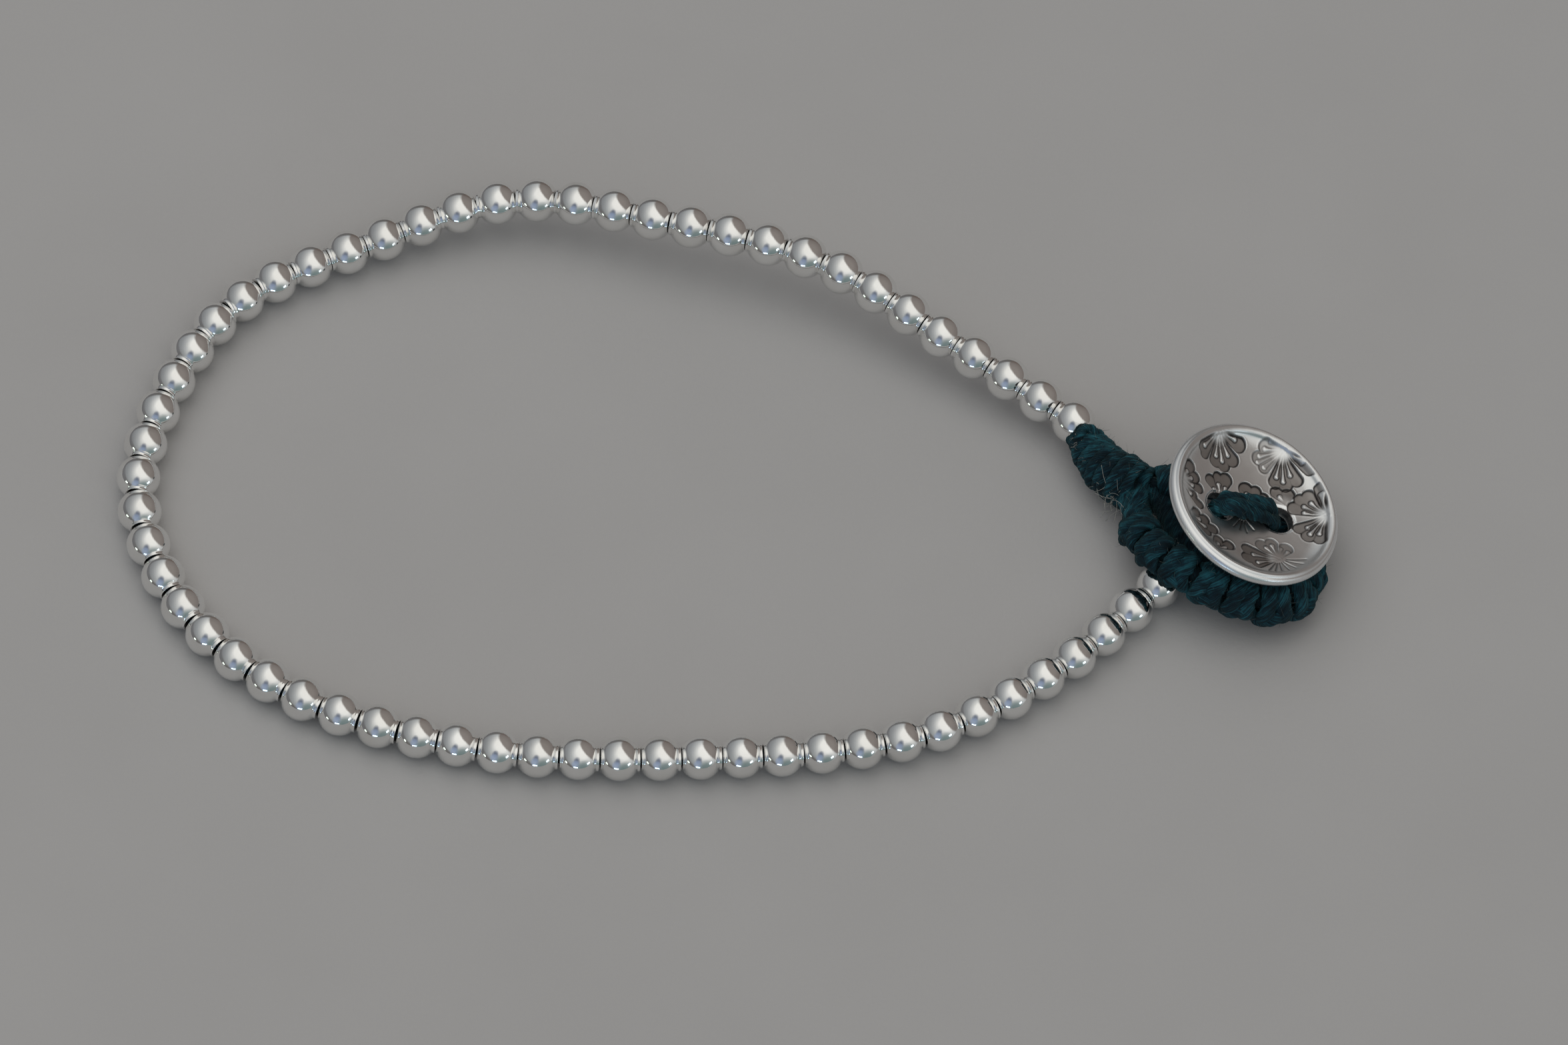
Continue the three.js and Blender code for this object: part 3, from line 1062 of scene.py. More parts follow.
BLOSSOMS: tuple[Blossom, ...] = (
    Blossom((-2.23, 5.30), ((-3.50, 3.85, 0.34), (-3.35, 3.42, 0.28)), ((-3.30, 4.10),)),
    Blossom((-2.23, 5.30), ((-2.38, 3.20, 0.42), (-1.70, 3.02, 0.40), (-1.00, 3.55, 0.42)),
            ((-2.32, 3.68), (-1.82, 3.42), (-1.38, 3.92))),
    Blossom((-2.23, 5.30), ((-0.50, 4.72, 0.44),), ((-0.92, 5.08),)),
    Blossom((2.68, 4.78), ((1.30, 4.95, 0.40), (0.88, 4.10, 0.42), (1.32, 3.45, 0.34)),
            ((1.74, 5.30), (1.38, 4.80), (1.02, 4.30), (0.92, 3.84), (1.38, 3.55)), depth=0.55),
    Blossom((2.68, 4.78), ((2.16, 2.50, 0.40), (2.92, 2.38, 0.42), (3.68, 2.70, 0.38)),
            ((2.28, 2.97), (2.76, 2.68), (3.24, 3.18))),
    Blossom((2.68, 4.78), ((4.60, 3.50, 0.36),), ((3.98, 4.02),)),
    Blossom((5.50, 0.12), ((5.12, 2.25, 0.30),), ((5.25, 1.75),)),
    Blossom((5.50, 0.12), ((4.40, 1.72, 0.38), (3.80, 1.42, 0.36), (3.36, 0.72, 0.42)),
            ((4.63, 1.15), (4.14, 0.88), (4.12, 0.38))),
    Blossom((5.50, 0.12), ((3.52, -0.98, 0.34), (4.10, -1.62, 0.40), (4.82, -1.92, 0.32)),
            ((4.24, -0.80), (4.34, -1.32), (4.92, -1.30))),
    Blossom((1.72, -3.87), ((0.62, -2.72, 0.42), (1.40, -2.42, 0.38), (2.45, -2.75, 0.40)),
            ((1.01, -2.90), (1.47, -2.64), (2.02, -2.84), (2.51, -3.12)), depth=0.6),
    Blossom((1.72, -3.87), ((-0.62, -3.36, 0.38), (-0.78, -4.20, 0.40), (-0.14, -4.68, 0.34)),
            ((-0.10, -3.72), (0.10, -4.42))),
    Blossom((1.72, -3.87), (), (), ((0.62, -5.20), (1.10, -5.18), (1.61, -5.05), (2.15, -4.88),
                                    (2.69, -4.61), (3.30, -4.16), (3.60, -3.68))),
    Blossom((-5.35, 0.95), ((-4.55, 2.22, 0.36), (-4.14, 1.52, 0.36), (-3.84, 0.72, 0.33)),
            ((-4.86, 1.70), (-4.50, 1.34), (-4.42, 0.84))),
    Blossom((-5.35, 0.60), ((-4.40, 0.02, 0.30), (-3.90, -0.62, 0.28)), ((-4.62, 0.12),)),
    Blossom((-5.10, -1.80), ((-4.30, -1.30, 0.30), (-3.62, -1.72, 0.34), (-3.02, -2.38, 0.34),
                             (-3.60, -2.84, 0.28)), ((-4.14, -1.84), (-3.76, -2.30))),
    Blossom((-3.55, -4.15), ((-2.78, -3.18, 0.34), (-1.92, -3.40, 0.34)), ((-2.90, -3.56), (-2.34, -3.72))),
    Blossom((-2.05, 0.50), ((-2.88, 1.78, 0.36), (-2.24, 2.20, 0.30), (-1.56, 2.14, 0.42)),
            ((-2.52, 1.12), (-2.13, 1.58), (-1.60, 1.42))),
    Blossom((0.55, 0.60), ((-0.08, 1.74, 0.46), (0.72, 1.72, 0.36), (1.34, 1.26, 0.34)),
            ((0.06, 1.36), (0.86, 1.28))),
    Blossom((2.90, 0.90), ((2.22, 1.86, 0.40), (3.06, 1.78, 0.40)), ((2.50, 1.50),)),
    Blossom((-0.45, -0.55), (), (), ((-1.30, -1.60), (-0.82, -1.72), (-0.32, -1.84), (0.24, -1.52))),
)


@dataclass
class Button:
    """The dished two-hole button with its stamped face."""

    centre: Point = (35.86, 0.32, 6.4)
    tip: float = math.radians(22.0)
    heading: float = math.radians(8.0)
    radius: float = 6.35
    wall: float = 1.0
    edge_wall: float = 0.65
    dish: float = 1.05
    dish_radius: float = 5.7
    rim: float = 0.42
    hole_radius: float = 1.05
    hole_spacing: float = 4.4
    hole_turn: float = math.radians(-3.5)
    hole_shift: Place = (0.0, -0.22)
    hole_roll: float = 0.24
    sectors: int = 512
    centre_gap: float = 0.03
    face_rings: int = 136
    rim_rings: int = 11
    back_rings: int = 18
    rim_bend: Place = (80.0, -60.0)
    rim_waves: tuple[tuple[float, float, float], ...] = ((0.018, 3.0, 0.6), (0.012, 5.0, 2.0))
    fillet: float = 0.44
    fillet_start: float = 4.6
    fillet_run: float = 0.7
    pattern_edge: float = 5.76
    relief: float = 0.13
    lobe_growth: float = 1.25
    lobe_thin: float = 0.04
    lobe_melt: float = 0.10
    drop_thin: float = 0.025
    drop_fat: float = 0.155
    ray_width: float = 0.06

    def frame(self) -> tuple[np.ndarray, np.ndarray]:
        """The button's own axes, as columns, and its middle."""
        turned = Matrix.Rotation(self.heading, 3, "Z") @ Matrix.Rotation(self.tip, 3, "Y")
        return np.array(turned), np.array(self.centre)

    def place(self, points: np.ndarray) -> np.ndarray:
        """Moves points from the button's own frame to the part's."""
        axes, middle = self.frame()
        return points @ axes.T + middle

    def face_height(self, distance: np.ndarray) -> np.ndarray:
        """The face's height below the top of the rim."""
        return -self.dish * (1 - (distance / self.dish_radius) ** 2) - self.rim / 2

    def back_height(self, distance: np.ndarray) -> np.ndarray:
        """The back's height below the top of the rim."""
        edge = (distance / self.dish_radius) ** 2
        return self.face_height(distance) - (self.wall + (self.edge_wall - self.wall) * edge)

    def hole_centres(self) -> list[np.ndarray]:
        """Finds the middles of the two holes.

        Returns:
            The left middle and the right one, in the button's own frame.
        """
        half = self.hole_spacing / 2
        line = np.array([math.cos(self.hole_turn), math.sin(self.hole_turn)])
        return [np.array(self.hole_shift) - half * line, np.array(self.hole_shift) + half * line]

    def top_height(self, distance: np.ndarray) -> np.ndarray:
        """Finds the height of the face and of the rim's inner side, which run into each other smoothly.

        Args:
            distance: How far from the button's middle.

        Returns:
            The height below the top of the rim.
        """
        face = self.face_height(distance)
        inward = (self.radius - self.rim - distance) / self.rim
        rise = self.rim * (np.sqrt(np.clip(1.0 - inward**2, 0.0, 1.0)) - 1.0) - np.maximum(inward - 1.0, 0.0)
        near_rim = ease(distance - self.fillet_start, self.fillet_run)
        rounded = np.sqrt((face - rise) ** 2 + self.fillet**2)
        return (face + rise + rounded * near_rim + np.abs(face - rise) * (1.0 - near_rim)) / 2

    def stamping(self, spot: np.ndarray) -> tuple[np.ndarray, np.ndarray, np.ndarray, np.ndarray]:
        """Works out the stamped pattern at places on the face.

        Args:
            spot: The places, two numbers each.

        Returns:
            The height, the dark lines, the hollows and the polished edges.
        """
        height, dark, hollow, polish = np.zeros((4, len(spot)))
        for blossom in BLOSSOMS:
            hub = np.array(blossom.hub)
            chamber = np.full(len(spot), 9.0)
            for x, y, size in blossom.lobes:
                grown = size * self.lobe_growth
                outer = np.array((x, y))
                outer = outer - unit(outer - hub) * (grown - size)
                lobe = drop_distance(spot, hub, outer, self.lobe_thin, grown, 1.0)
                chamber = melted(chamber, lobe, self.lobe_melt)
            away = ease(np.linalg.norm(spot - hub, axis=1) - 0.30, 0.75)
            sunk = ease(0.035 - chamber, 0.08) * blossom.depth * away
            wall = ridge(chamber, -0.035, 0.065) * blossom.depth * away
            lip = ridge(chamber, 0.085, 0.05)
            raised, outline, cut = np.zeros((3, len(spot)))
            for tip in blossom.drops:
                end = np.array(tip)
                drop = drop_distance(spot, hub + (end - hub) * 0.08, end, self.drop_thin, self.drop_fat, 4.0)
                raised = np.maximum(raised, ease(0.025 - drop, 0.05) * (0.72 + 0.28 * ease(-drop, 0.14)))
                outline = np.maximum(outline, ridge(drop, 0.055, 0.042) * away)
            for tip in blossom.rays:
                end = np.array(tip)
                line = drop_distance(spot, hub + (end - hub) * 0.3, end, 0.0, 0.0, 1.0)
                cut = np.maximum(cut, ridge(line, 0.0, self.ray_width))
            height += -self.relief * (sunk * (1.0 - 0.85 * raised) + 0.5 * cut) + 0.012 * lip * (1 - sunk)
            inside = sunk if blossom.lobes else np.zeros(len(spot))
            wall = np.maximum(wall, cut * 0.85)
            dark = np.maximum(dark, np.maximum(wall, outline * inside * (1 - raised)))
            hollow = np.maximum(hollow, sunk * (1.0 - raised))
            polish = np.maximum(polish, np.maximum(lip * 0.4 * (1 - sunk), raised * inside * 0.5))
        return height, dark, hollow, polish

    def surface(self) -> tuple[np.ndarray, dict[str, np.ndarray]]:
        """Draws the whole skin in rings, from the middle of the face over the rim to the middle of the back.

        Returns:
            The rings in the button's own frame, and what is stored at each point.
        """
        angles = round_angles(self.sectors)
        middle = self.radius - self.rim
        face_r = np.linspace(self.centre_gap, middle, self.face_rings)
        bend = np.radians(np.linspace(*self.rim_bend, self.rim_rings))
        rim_r = middle + self.rim * np.cos(bend)
        rim_z = self.rim * (np.sin(bend) - 1)
        back_r = np.linspace(self.dish_radius - 0.02, self.centre_gap, self.back_rings)
        radii = np.concatenate([face_r, rim_r, back_r])
        heights = np.concatenate([self.top_height(face_r), rim_z, self.back_height(back_r)])
        x = radii[:, None] * np.cos(angles)[None, :]
        y = radii[:, None] * np.sin(angles)[None, :]
        z = np.repeat(heights[:, None], self.sectors, 1)
        spot = np.stack([x[: self.face_rings], y[: self.face_rings]], -1).reshape(-1, 2)
        height, dark, hollow, polish = self.stamping(spot)
        fade = ease(self.pattern_edge - np.hypot(spot[:, 0], spot[:, 1]), 0.20)
        shape = (self.face_rings, self.sectors)
        z[: self.face_rings] += (height * fade).reshape(shape)
        stored: dict[str, np.ndarray] = {}
        for name, values in (("oxide", dark), ("hollow", hollow), ("polish", polish)):
            whole = np.zeros(x.shape)
            whole[: self.face_rings] = (values * fade).reshape(shape)
            stored[name] = whole
        stored["oxide"][self.face_rings + self.rim_rings:] = 0.35
        stored["polish"][self.face_rings: self.face_rings + self.rim_rings] = 0.5
        top = np.arange(len(radii)) < self.face_rings + 2
        for centre in self.hole_centres():
            gap = np.hypot(x - centre[0], y - centre[1]) - self.hole_radius
            roll = np.clip(1.0 - gap / self.hole_roll, 0.0, 1.0) ** 2
            z -= np.where(top[:, None], 0.14 * roll, -0.08 * roll)
            stored["polish"] = np.maximum(stored["polish"], ridge(gap, 0.13, 0.06) * 0.9)
        wave = waves(angles, *self.rim_waves)
        z += wave[None, :] * (radii[:, None] / self.radius) ** 2
        return np.stack([x, y, z], -1), stored

    def build(self, finishes: Finishes) -> bpy.types.Object:
        """Makes the button.

        Args:
            finishes: The materials.

        Returns:
            The button.
        """
        grid, stored = self.surface()
        rings, sectors = grid.shape[:2]
        points = grid.reshape(-1, 3).copy()
        here = np.arange(rings - 1)[:, None] * sectors
        side = np.arange(sectors)[None, :]
        after = (side + 1) % sectors
        quads = np.stack([here + side, here + sectors + side, here + sectors + after, here + after], -1)
        quads, bridges = self.pierced(points, quads.reshape(-1, 4))
        faces = quads.tolist() + bridges
        faces.append(list(range(sectors)))
        faces.append(list(range((rings - 1) * sectors, rings * sectors))[::-1])
        maker = MeshMaker()
        flat = {name: values.reshape(-1) for name, values in stored.items()}
        maker.add(self.place(points), faces, **flat)
        made = maker.build("button_stamped", finishes.button)
        loose_points_away(made)
        return settle(made, Slot.BUTTON, "button")

    def pierced(self, points: np.ndarray, quads: np.ndarray) -> tuple[np.ndarray, list[list[int]]]:
        """Cuts the two holes through the skin, and moves the points at their edges onto a circle.

        Args:
            points: The skin's points, which are changed.
            quads: The skin's faces.

        Returns:
            The faces that are left, and the walls of the holes.
        """
        ring = np.arange(len(points)) // self.sectors
        on_back = ring >= self.face_rings + self.rim_rings // 2
        bridges: list[list[int]] = []
        for middle in self.hole_centres():
            gap = np.hypot(points[:, 0] - middle[0], points[:, 1] - middle[1]) - self.hole_radius
            gone = (gap[quads] < 0).any(1)
            border = np.intersect1d(np.unique(quads[gone]), np.unique(quads[~gone]))
            quads = quads[~gone]
            way = unit(points[border, :2] - middle)
            points[border, :2] = middle + way * self.hole_radius
            bearing = np.arctan2(way[:, 1], way[:, 0])
            loops = []
            for part in (False, True):
                chosen = on_back[border] == part
                loops.append(border[chosen][np.argsort(bearing[chosen])])
            bridges.extend(zipped(points, loops[0], loops[1], middle))
        return quads, bridges


def melted(first: np.ndarray, second: np.ndarray, width: float) -> np.ndarray:
    """Joins two distances into one, with the notch between them filled a little."""
    blend = np.clip(0.5 + 0.5 * (second - first) / width, 0.0, 1.0)
    return second + (first - second) * blend - width * blend * (1.0 - blend)


def drop_distance(
    spot: np.ndarray, start: np.ndarray, end: np.ndarray, thin: float, fat: float, fullness: float
) -> np.ndarray:
    """Measures how far places are outside a drop shape, which is thin at its start and round at its end.

    Args:
        spot: The places.
        start: The middle of the drop's thin end.
        end: The middle of its round end.
        thin: The radius at the thin end.
        fat: The radius at the round end.
        fullness: How late the drop grows fat on its way, 1 for evenly.

    Returns:
        The distances, less than 0 inside.
    """
    line = end - start
    share = np.clip(((spot - start) @ line) / (line @ line), 0.0, 1.0)
    near = start + share[:, None] * line
    width = thin + (fat - thin) * share**fullness
    return np.linalg.norm(spot - near, axis=1) - width


def zipped(points: np.ndarray, upper: np.ndarray, lower: np.ndarray, middle: np.ndarray) -> list[list[int]]:
    """Joins two loops of points round a hole with triangles.

    Args:
        points: All the points.
        upper: The loop on the face, in order round the hole.
        lower: The loop on the back, in the same order.
        middle: The middle of the hole.

    Returns:
        The triangles.
    """
    def bearings(loop: np.ndarray) -> np.ndarray:
        """How far round the hole each point is, and once more the first."""
        found = np.arctan2(points[loop, 1] - middle[1], points[loop, 0] - middle[0])
        return np.append(found, found[0] + TURN)

    above, below = bearings(upper), bearings(lower)
    triangles: list[list[int]] = []
    i = j = 0
    while i < len(upper) or j < len(lower):
        step_up = j >= len(lower) or (i < len(upper) and above[i + 1] <= below[j + 1])
        a, b = int(upper[i % len(upper)]), int(lower[j % len(lower)])
        if step_up:
            triangles.append([a, b, int(upper[(i + 1) % len(upper)])])
            i += 1
        else:
            triangles.append([a, b, int(lower[(j + 1) % len(lower)])])
            j += 1
    return triangles


def loose_points_away(made: bpy.types.Object) -> None:
    """Takes away the points that no face uses.

    Args:
        made: The object, which is changed.
    """
    work = bmesh.new()
    work.from_mesh(made.data)
    loose = [corner for corner in work.verts if not corner.link_faces]
    bmesh.ops.delete(work, geom=loose, context="VERTS")
    work.to_mesh(made.data)
    work.free()


@dataclass
class Stitch:
    """The cord that ties the button on: a ring through both holes, of strands that lie side by side."""

    over_dish: float = 0.62
    under_wall: float = 0.95
    spread: float = 0.47
    lift: float = 0.16
    steps: int = 240
    strand: Strand = Strand(0.56, plies=3, pitch=3.3, groove=0.13, sides=20, lumps=0.05)

    def build(self, finishes: Finishes, button: Button) -> bpy.types.Object:
        """Makes the stitch.

        Args:
            finishes: The materials.
            button: The button that it ties on.

        Returns:
            The stitch.
        """
        half = button.hole_spacing / 2
        top = float(button.face_height(half))
        bottom = float(button.face_height(0.0)) - button.wall
        shift = np.array([*button.hole_shift, 0.0])
        outline = [
            (-half, top - 0.25), (-half * 0.78, top + self.over_dish * 0.86),
            (-half * 0.3, top + self.over_dish), (half * 0.25, top + self.over_dish * 0.96),
            (half * 0.62, top + self.over_dish * 0.70),
            (half * 0.86, top - 0.25), (half * 0.94, bottom), (half * 0.6, bottom - self.under_wall),
            (-half * 0.6, bottom - self.under_wall), (-half, bottom),
        ]
        turn = np.array(Matrix.Rotation(button.hole_turn, 3, "Z"))
        axes, _ = button.frame()
        level, raised = axes @ turn @ np.array([0.0, 1.0, 0.0]), axes[:, 2]
        places = button.place(np.array([(x, 0.0, z) for x, z in outline]) @ turn.T + shift)
        route = Route(places, closed=True)
        shares = np.arange(self.steps) / self.steps
        centre = route.at(shares)
        local = (centre - np.array(button.centre)) @ axes
        on_face = ease(local[:, 2] - top - 0.1, 0.5)
        left = ease(-local[:, 0] + 1.6, 2.6)
        maker = MeshMaker()
        for number, side in enumerate((1.0, -1.0)):
            aside = side * self.spread * (0.55 + 0.45 * on_face * (0.5 + 0.5 * left))
            aside = aside + 0.10 * np.sin(local[:, 0] * 1.5 + number * 1.3) * on_face
            height = side * self.lift * np.sin(local[:, 0] * 0.9 + 0.5) * on_face
            line = centre + level * aside[:, None] + raised * height[:, None]
            size = 0.86 + 0.14 * on_face * left + 0.05 * np.sin(shares * TURN * 5 + number)
            self.strand.lay(maker, line, closed=True, number=5.0 + number, radii=size)
        aside = 0.15 * np.sin(local[:, 0] * 1.1)
        third = centre + raised * (0.30 * on_face)[:, None] + level * aside[:, None]
        self.strand.lay(maker, third, closed=True, number=7.0, radii=0.45 + 0.22 * on_face * left)
        return settle(maker.build("button_stitch_cord", finishes.cord), Slot.CORD, "button_stitch")


@dataclass
class Tail:
    """The wound end of the string, below the button."""

    radius: float = 0.95
    strand: Strand = Strand(0.28, plies=2, pitch=1.1, groove=0.2, sides=10)
    wraps: float = 9.0
    steps_per_wrap: int = 32

    def build(self, finishes: Finishes) -> bpy.types.Object:
        """Makes the tail.

        Args:
            finishes: The materials.

        Returns:
            The tail.
        """
        route = Route(TAIL_ROUTE)
        maker = MeshMaker()
        turns = np.linspace(0.0, self.wraps, int(self.wraps * self.steps_per_wrap))
        shares = 0.04 + 0.92 * turns / self.wraps
        radii = np.full(len(turns), self.radius - self.strand.radius)
        self.strand.lay(maker, wound(route, shares, turns * TURN, radii), number=8.0)
        # The core under the wraps takes painted shade.
        core = np.linspace(0.01, 0.99, 20)
        body = Strand(self.radius - self.strand.radius, plies=1, groove=0.0, sides=18)
        body.lay(maker, route.at(core), number=9.0, shade=0.6)
        return settle(maker.build("button_tail_wound", finishes.cord), Slot.CORD, "button_tail")


@dataclass
class Fuzz:
    """Fine hairs that stand off a cord piece."""

    name: str
    count: int
    length: float = 0.55
    radius: float = 0.011
    steps: int = 6
    lean_spread: float = 0.75
    curl_spread: float = 0.55
    rooted: float = 0.03
    seed: int = 5
    pale: float = 0.12

    def build(self, finishes: Finishes, carrier: bpy.types.Object) -> bpy.types.Object:
        """Makes the hairs.

        Args:
            finishes: The materials.
            carrier: The piece that they stand on.

        Returns:
            The hairs, in one piece.
        """
        random = np.random.default_rng(self.seed)
        mesh = carrier.data
        points = np.zeros(len(mesh.vertices) * 3, np.float32)
        normals = np.zeros(len(mesh.vertices) * 3, np.float32)
        mesh.vertices.foreach_get("co", points)
        mesh.vertices.foreach_get("normal", normals)
        points, normals = points.reshape(-1, 3) / MM, normals.reshape(-1, 3)
        maker = MeshMaker()
        steps = np.linspace(0.0, 1.0, self.steps)[:, None]
        hair = Strand(self.radius, plies=1, groove=0.0, sides=3)
        taper = 1.0 - 0.6 * steps[:, 0]
        for root in random.integers(0, len(points), self.count):
            lean = unit(normals[root] + random.normal(0.0, self.lean_spread, 3))
            curl = random.normal(0.0, self.curl_spread, 3)
            reach = self.length * random.uniform(0.35, 1.25)
            line = points[root] + (lean * steps + curl * steps**2 * 0.7) * reach - normals[root] * self.rooted
            line[:, 2] = np.maximum(line[:, 2], self.rooted)
            tone = 0.9 if random.uniform() < self.pale else random.uniform(0.0, 0.25)
            hair.lay(maker, line, radii=taper, shade=tone)
        return settle(maker.build(self.name, finishes.fibre), Slot.CORD)


@dataclass
class Wisp:
    """Pale worn fibres pulled out of the cord, gathered round one place."""

    name: str
    middle: Point
    spread: Point
    count: int = 40
    length: float = 0.9
    radius: float = 0.019
    steps: int = 8
    curl_spread: float = 0.8
    lowest: float = 0.05
    seed: int = 21

    def build(self, finishes: Finishes) -> bpy.types.Object:
        """Makes the fibres.

        Args:
            finishes: The materials.

        Returns:
            The fibres, in one piece.
        """
        random = np.random.default_rng(self.seed)
        maker = MeshMaker()
        steps = np.linspace(0.0, 1.0, self.steps)[:, None]
        hair = Strand(self.radius, plies=1, groove=0.0, sides=3)
        for _ in range(self.count):
            start = np.array(self.middle) + random.normal(0.0, 1.0, 3) * self.spread
            lean = unit(random.normal(0.0, 1.0, 3) * (1.0, 1.0, 0.45))
            curl = random.normal(0.0, self.curl_spread, 3)
            line = start + (lean * steps + curl * steps**2 * 0.6) * self.length * random.uniform(0.4, 1.2)
            line[:, 2] = np.maximum(line[:, 2], self.lowest)
            hair.lay(maker, line, shade=random.uniform(0.55, 1.0))
        return settle(maker.build(self.name, finishes.fibre), Slot.CORD)


# The studio


@dataclass(frozen=True)
class SkyShade:
    """A darker part of the room, round one direction.

    It starts where a direction's nearness to way, from 0 to 1, is at edge, and is whole from full on.
    """

    way: Point
    edge: float
    full: float
    share: float
    colour: Colour


@dataclass(frozen=True)
class SoftLight:
    """A soft light that faces the bracelet, with its place and size in metres and its power in watts."""

    name: str
    place: Point
    size: Place
    power: float
    colour: Colour
    mirrored: bool = True

    def build(self) -> None:
        """Makes the light."""
        data = bpy.data.lights.new(self.name, "AREA")
        data.shape = "RECTANGLE"
        data.size, data.size_y = self.size
        data.energy = self.power
        data.color = self.colour
        made = bpy.data.objects.new(self.name, data)
        made.location = self.place
        made.rotation_euler = (-Vector(self.place)).to_track_quat("-Z", "Y").to_euler()
        made.visible_glossy = self.mirrored
        bpy.context.scene.collection.objects.link(made)


@dataclass
class Studio:
    """The floor, the soft lights and the camera."""

    tilt: float = math.radians(57.5)
    roll: float = math.radians(5.0)
    focal_pixels: float = 18000.0
    picture_width: float = 2352.0
    scale: float = 22.0
    target: Point = (4.1, -0.6, 0.0)
    sensor: float = 36.0
    clip: Place = (0.05, 20.0)
    floor_size: float = 3.0
    sky_middle: Point = (0.373, 0.078, 0.925)
    sky_strength: float = 0.92
    sky_stops: tuple[tuple[float, Colour], ...] = (
        (0.0, (0.10, 0.095, 0.09)), (0.43, (0.15, 0.145, 0.14)), (0.50, (0.32, 0.335, 0.34)),
        (0.62, (0.40, 0.42, 0.425)), (0.76, (0.55, 0.565, 0.565)), (0.86, (0.74, 0.745, 0.73)),
        (0.93, (0.93, 0.925, 0.89)), (1.0, (0.97, 0.955, 0.915)),
    )
    sky_shades: tuple[SkyShade, ...] = (
        SkyShade((-0.10, 0.80, -0.59), 0.735, 0.800, 0.90, (0.105, 0.095, 0.088)),
        SkyShade((0.74, 0.57, 0.37), 0.835, 0.885, 0.86, (0.150, 0.120, 0.106)),
        SkyShade((-0.91, 0.41, 0.07), 0.640, 0.960, 0.52, (0.18, 0.185, 0.20)),
        SkyShade((-0.06, -0.62, 0.78), 0.984, 0.998, 0.55, (0.12, 0.14, 0.19)),
        SkyShade((-0.10, -0.76, 0.64), 0.972, 0.994, 0.75, (0.10, 0.13, 0.20)),
        SkyShade((-0.16, -0.91, 0.37), 0.955, 0.988, 0.70, (0.30, 0.38, 0.55)),
        SkyShade((0.45, -0.80, 0.10), 0.86, 0.95, 0.70, (0.09, 0.16, 0.16)),
    )
    lights: tuple[SoftLight, ...] = (
        SoftLight("overhead", (-0.28, 0.14, 0.62), (0.80, 0.60), 0.95, (1.0, 0.99, 0.98), mirrored=False),
        SoftLight("right_window", (0.72, -0.50, 0.20), (0.22, 0.14), 0.16, (0.78, 0.92, 1.0)),
        SoftLight("low_window", (-0.16, -1.20, 0.11), (0.42, 0.12), 0.42, (0.66, 0.86, 1.0)),
        SoftLight("left_window", (-1.00, -0.62, 0.12), (0.24, 0.10), 0.20, (0.84, 1.0, 0.86)),
    )

    def camera(self) -> bpy.types.Object:
        """Makes the camera at the photograph's angle.

        Returns:
            The camera.
        """
        ahead = Vector((0.0, math.cos(self.tilt), -math.sin(self.tilt)))
        level = Vector((1.0, 0.0, 0.0))
        rise = Vector((0.0, math.sin(self.tilt), math.cos(self.tilt)))
        right = level * math.cos(self.roll) + rise * math.sin(self.roll)
        upward = rise * math.cos(self.roll) - level * math.sin(self.roll)
        distance = self.focal_pixels / self.scale
        place = (Vector(self.target) - ahead * distance) * MM
        data = bpy.data.cameras.new("camera")
        data.sensor_width = self.sensor
        data.lens = self.focal_pixels / self.picture_width * self.sensor
        data.clip_start, data.clip_end = self.clip
        made = bpy.data.objects.new("camera", data)
        axes = Matrix((right, upward, -ahead)).transposed().to_4x4()
        made.matrix_world = Matrix.Translation(place) @ axes
        bpy.context.scene.collection.objects.link(made)
        bpy.context.scene.camera = made
        return made

    def floor(self, finishes: Finishes) -> bpy.types.Object:
        """Makes the floor.

        Args:
            finishes: The materials.

        Returns:
            The floor.
        """
        half = self.floor_size / 2 / MM
        maker = MeshMaker()
        corners = np.array([(-half, -half, 0.0), (half, -half, 0.0), (half, half, 0.0), (-half, half, 0.0)])
        maker.add(corners, [[0, 1, 2, 3]])
        made = maker.build("floor", finishes.floor)
        return made

    def sky(self) -> None:
        """Makes the room's soft light: pale above, with the darker shades laid over it."""
        world = bpy.data.worlds.new("room")
        world.use_nodes = True
        bpy.context.scene.world = world
        paint = Paint(world.node_tree)
        direction = paint.node("ShaderNodeTexCoord", None, None, "Generated")

        def facing(way: Point) -> Signal:
            """How far each direction is towards a way, from 0 to 1."""
            settings, inputs = {"operation": "DOT_PRODUCT"}, {0: direction, 1: way}
            return paint.node("ShaderNodeVectorMath", settings, inputs, "Value") * 0.5 + 0.5

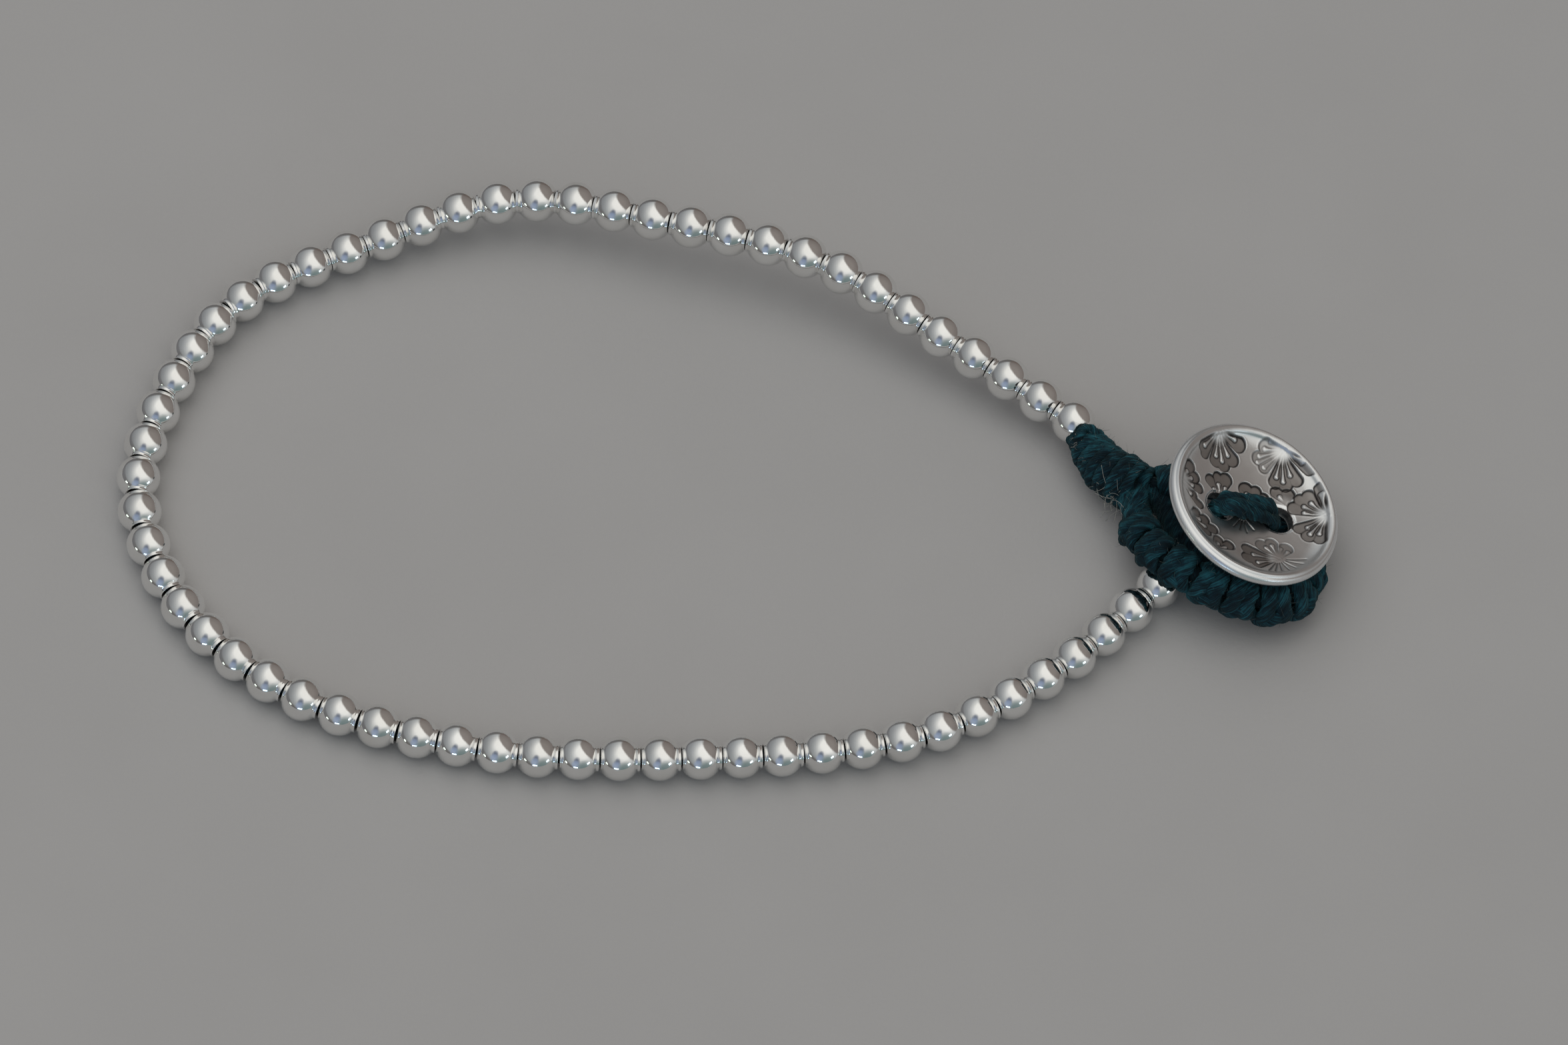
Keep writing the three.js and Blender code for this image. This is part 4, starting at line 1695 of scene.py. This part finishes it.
        colour = paint.ramp(facing(self.sky_middle), self.sky_stops)
        for shade in self.sky_shades:
            share = ((facing(shade.way) - shade.edge) / (shade.full - shade.edge)).clamped()
            colour = paint.mix(share * shade.share, colour, shade.colour)
        light = paint.node("ShaderNodeBackground", None, {"Color": colour, "Strength": self.sky_strength})
        paint.node("ShaderNodeOutputWorld", None, {"Surface": light})

    def build(self, finishes: Finishes) -> bpy.types.Object:
        """Makes the whole studio.

        Args:
            finishes: The materials.

        Returns:
            The floor.
        """
        self.camera()
        made = self.floor(finishes)
        self.sky()
        for light in self.lights:
            light.build()
        bpy.context.scene.view_settings.view_transform = "Standard"
        return made


def main() -> None:
    """Builds the studio and the bracelet, part by part."""
    logging.basicConfig(level=logging.INFO, format="%(name)s: %(message)s")
    finishes = Finishes.make()
    pieces = [Studio().build(finishes)]
    route = Route(STRING_ROUTE, steps=3000)
    pieces += BeadString("beads_upper", "bead_string_upper", 0, 39, seed=11).build(finishes, route)
    pieces += BeadString("beads_lower", "bead_string_lower", 40, 60, seed=12).build(finishes, route)
    neck = CordNeck().build(finishes)
    loop = KnottedLoop().build(finishes)
    button = Button()
    stamped = button.build(finishes)
    stitch = Stitch().build(finishes, button)
    pieces += [neck, loop, stamped, stitch, Tail().build(finishes)]
    wisps = (
        Wisp("fork_wisps", (26.30, 2.05, 2.9), (0.40, 0.42, 0.35), count=64, seed=22),
        Wisp("start_wisps", (24.0, 6.1, 3.1), (0.25, 0.35, 0.2), count=18, length=0.6, seed=23),
    )
    pieces += [wisp.build(finishes) for wisp in wisps]
    pieces += [
        Fuzz("neck_fuzz", 420, seed=5, pale=0.25).build(finishes, neck),
        Fuzz("loop_fuzz", 900, seed=6, pale=0.06).build(finishes, loop),
        Fuzz("stitch_fuzz", 140, seed=7, pale=0.08).build(finishes, stitch),
    ]
    for piece in pieces:
        triangles = sum(len(face.vertices) - 2 for face in piece.data.polygons)
        LOG.info("%s: %d triangles", piece.name, triangles)


if __name__ == "__main__":
    main()
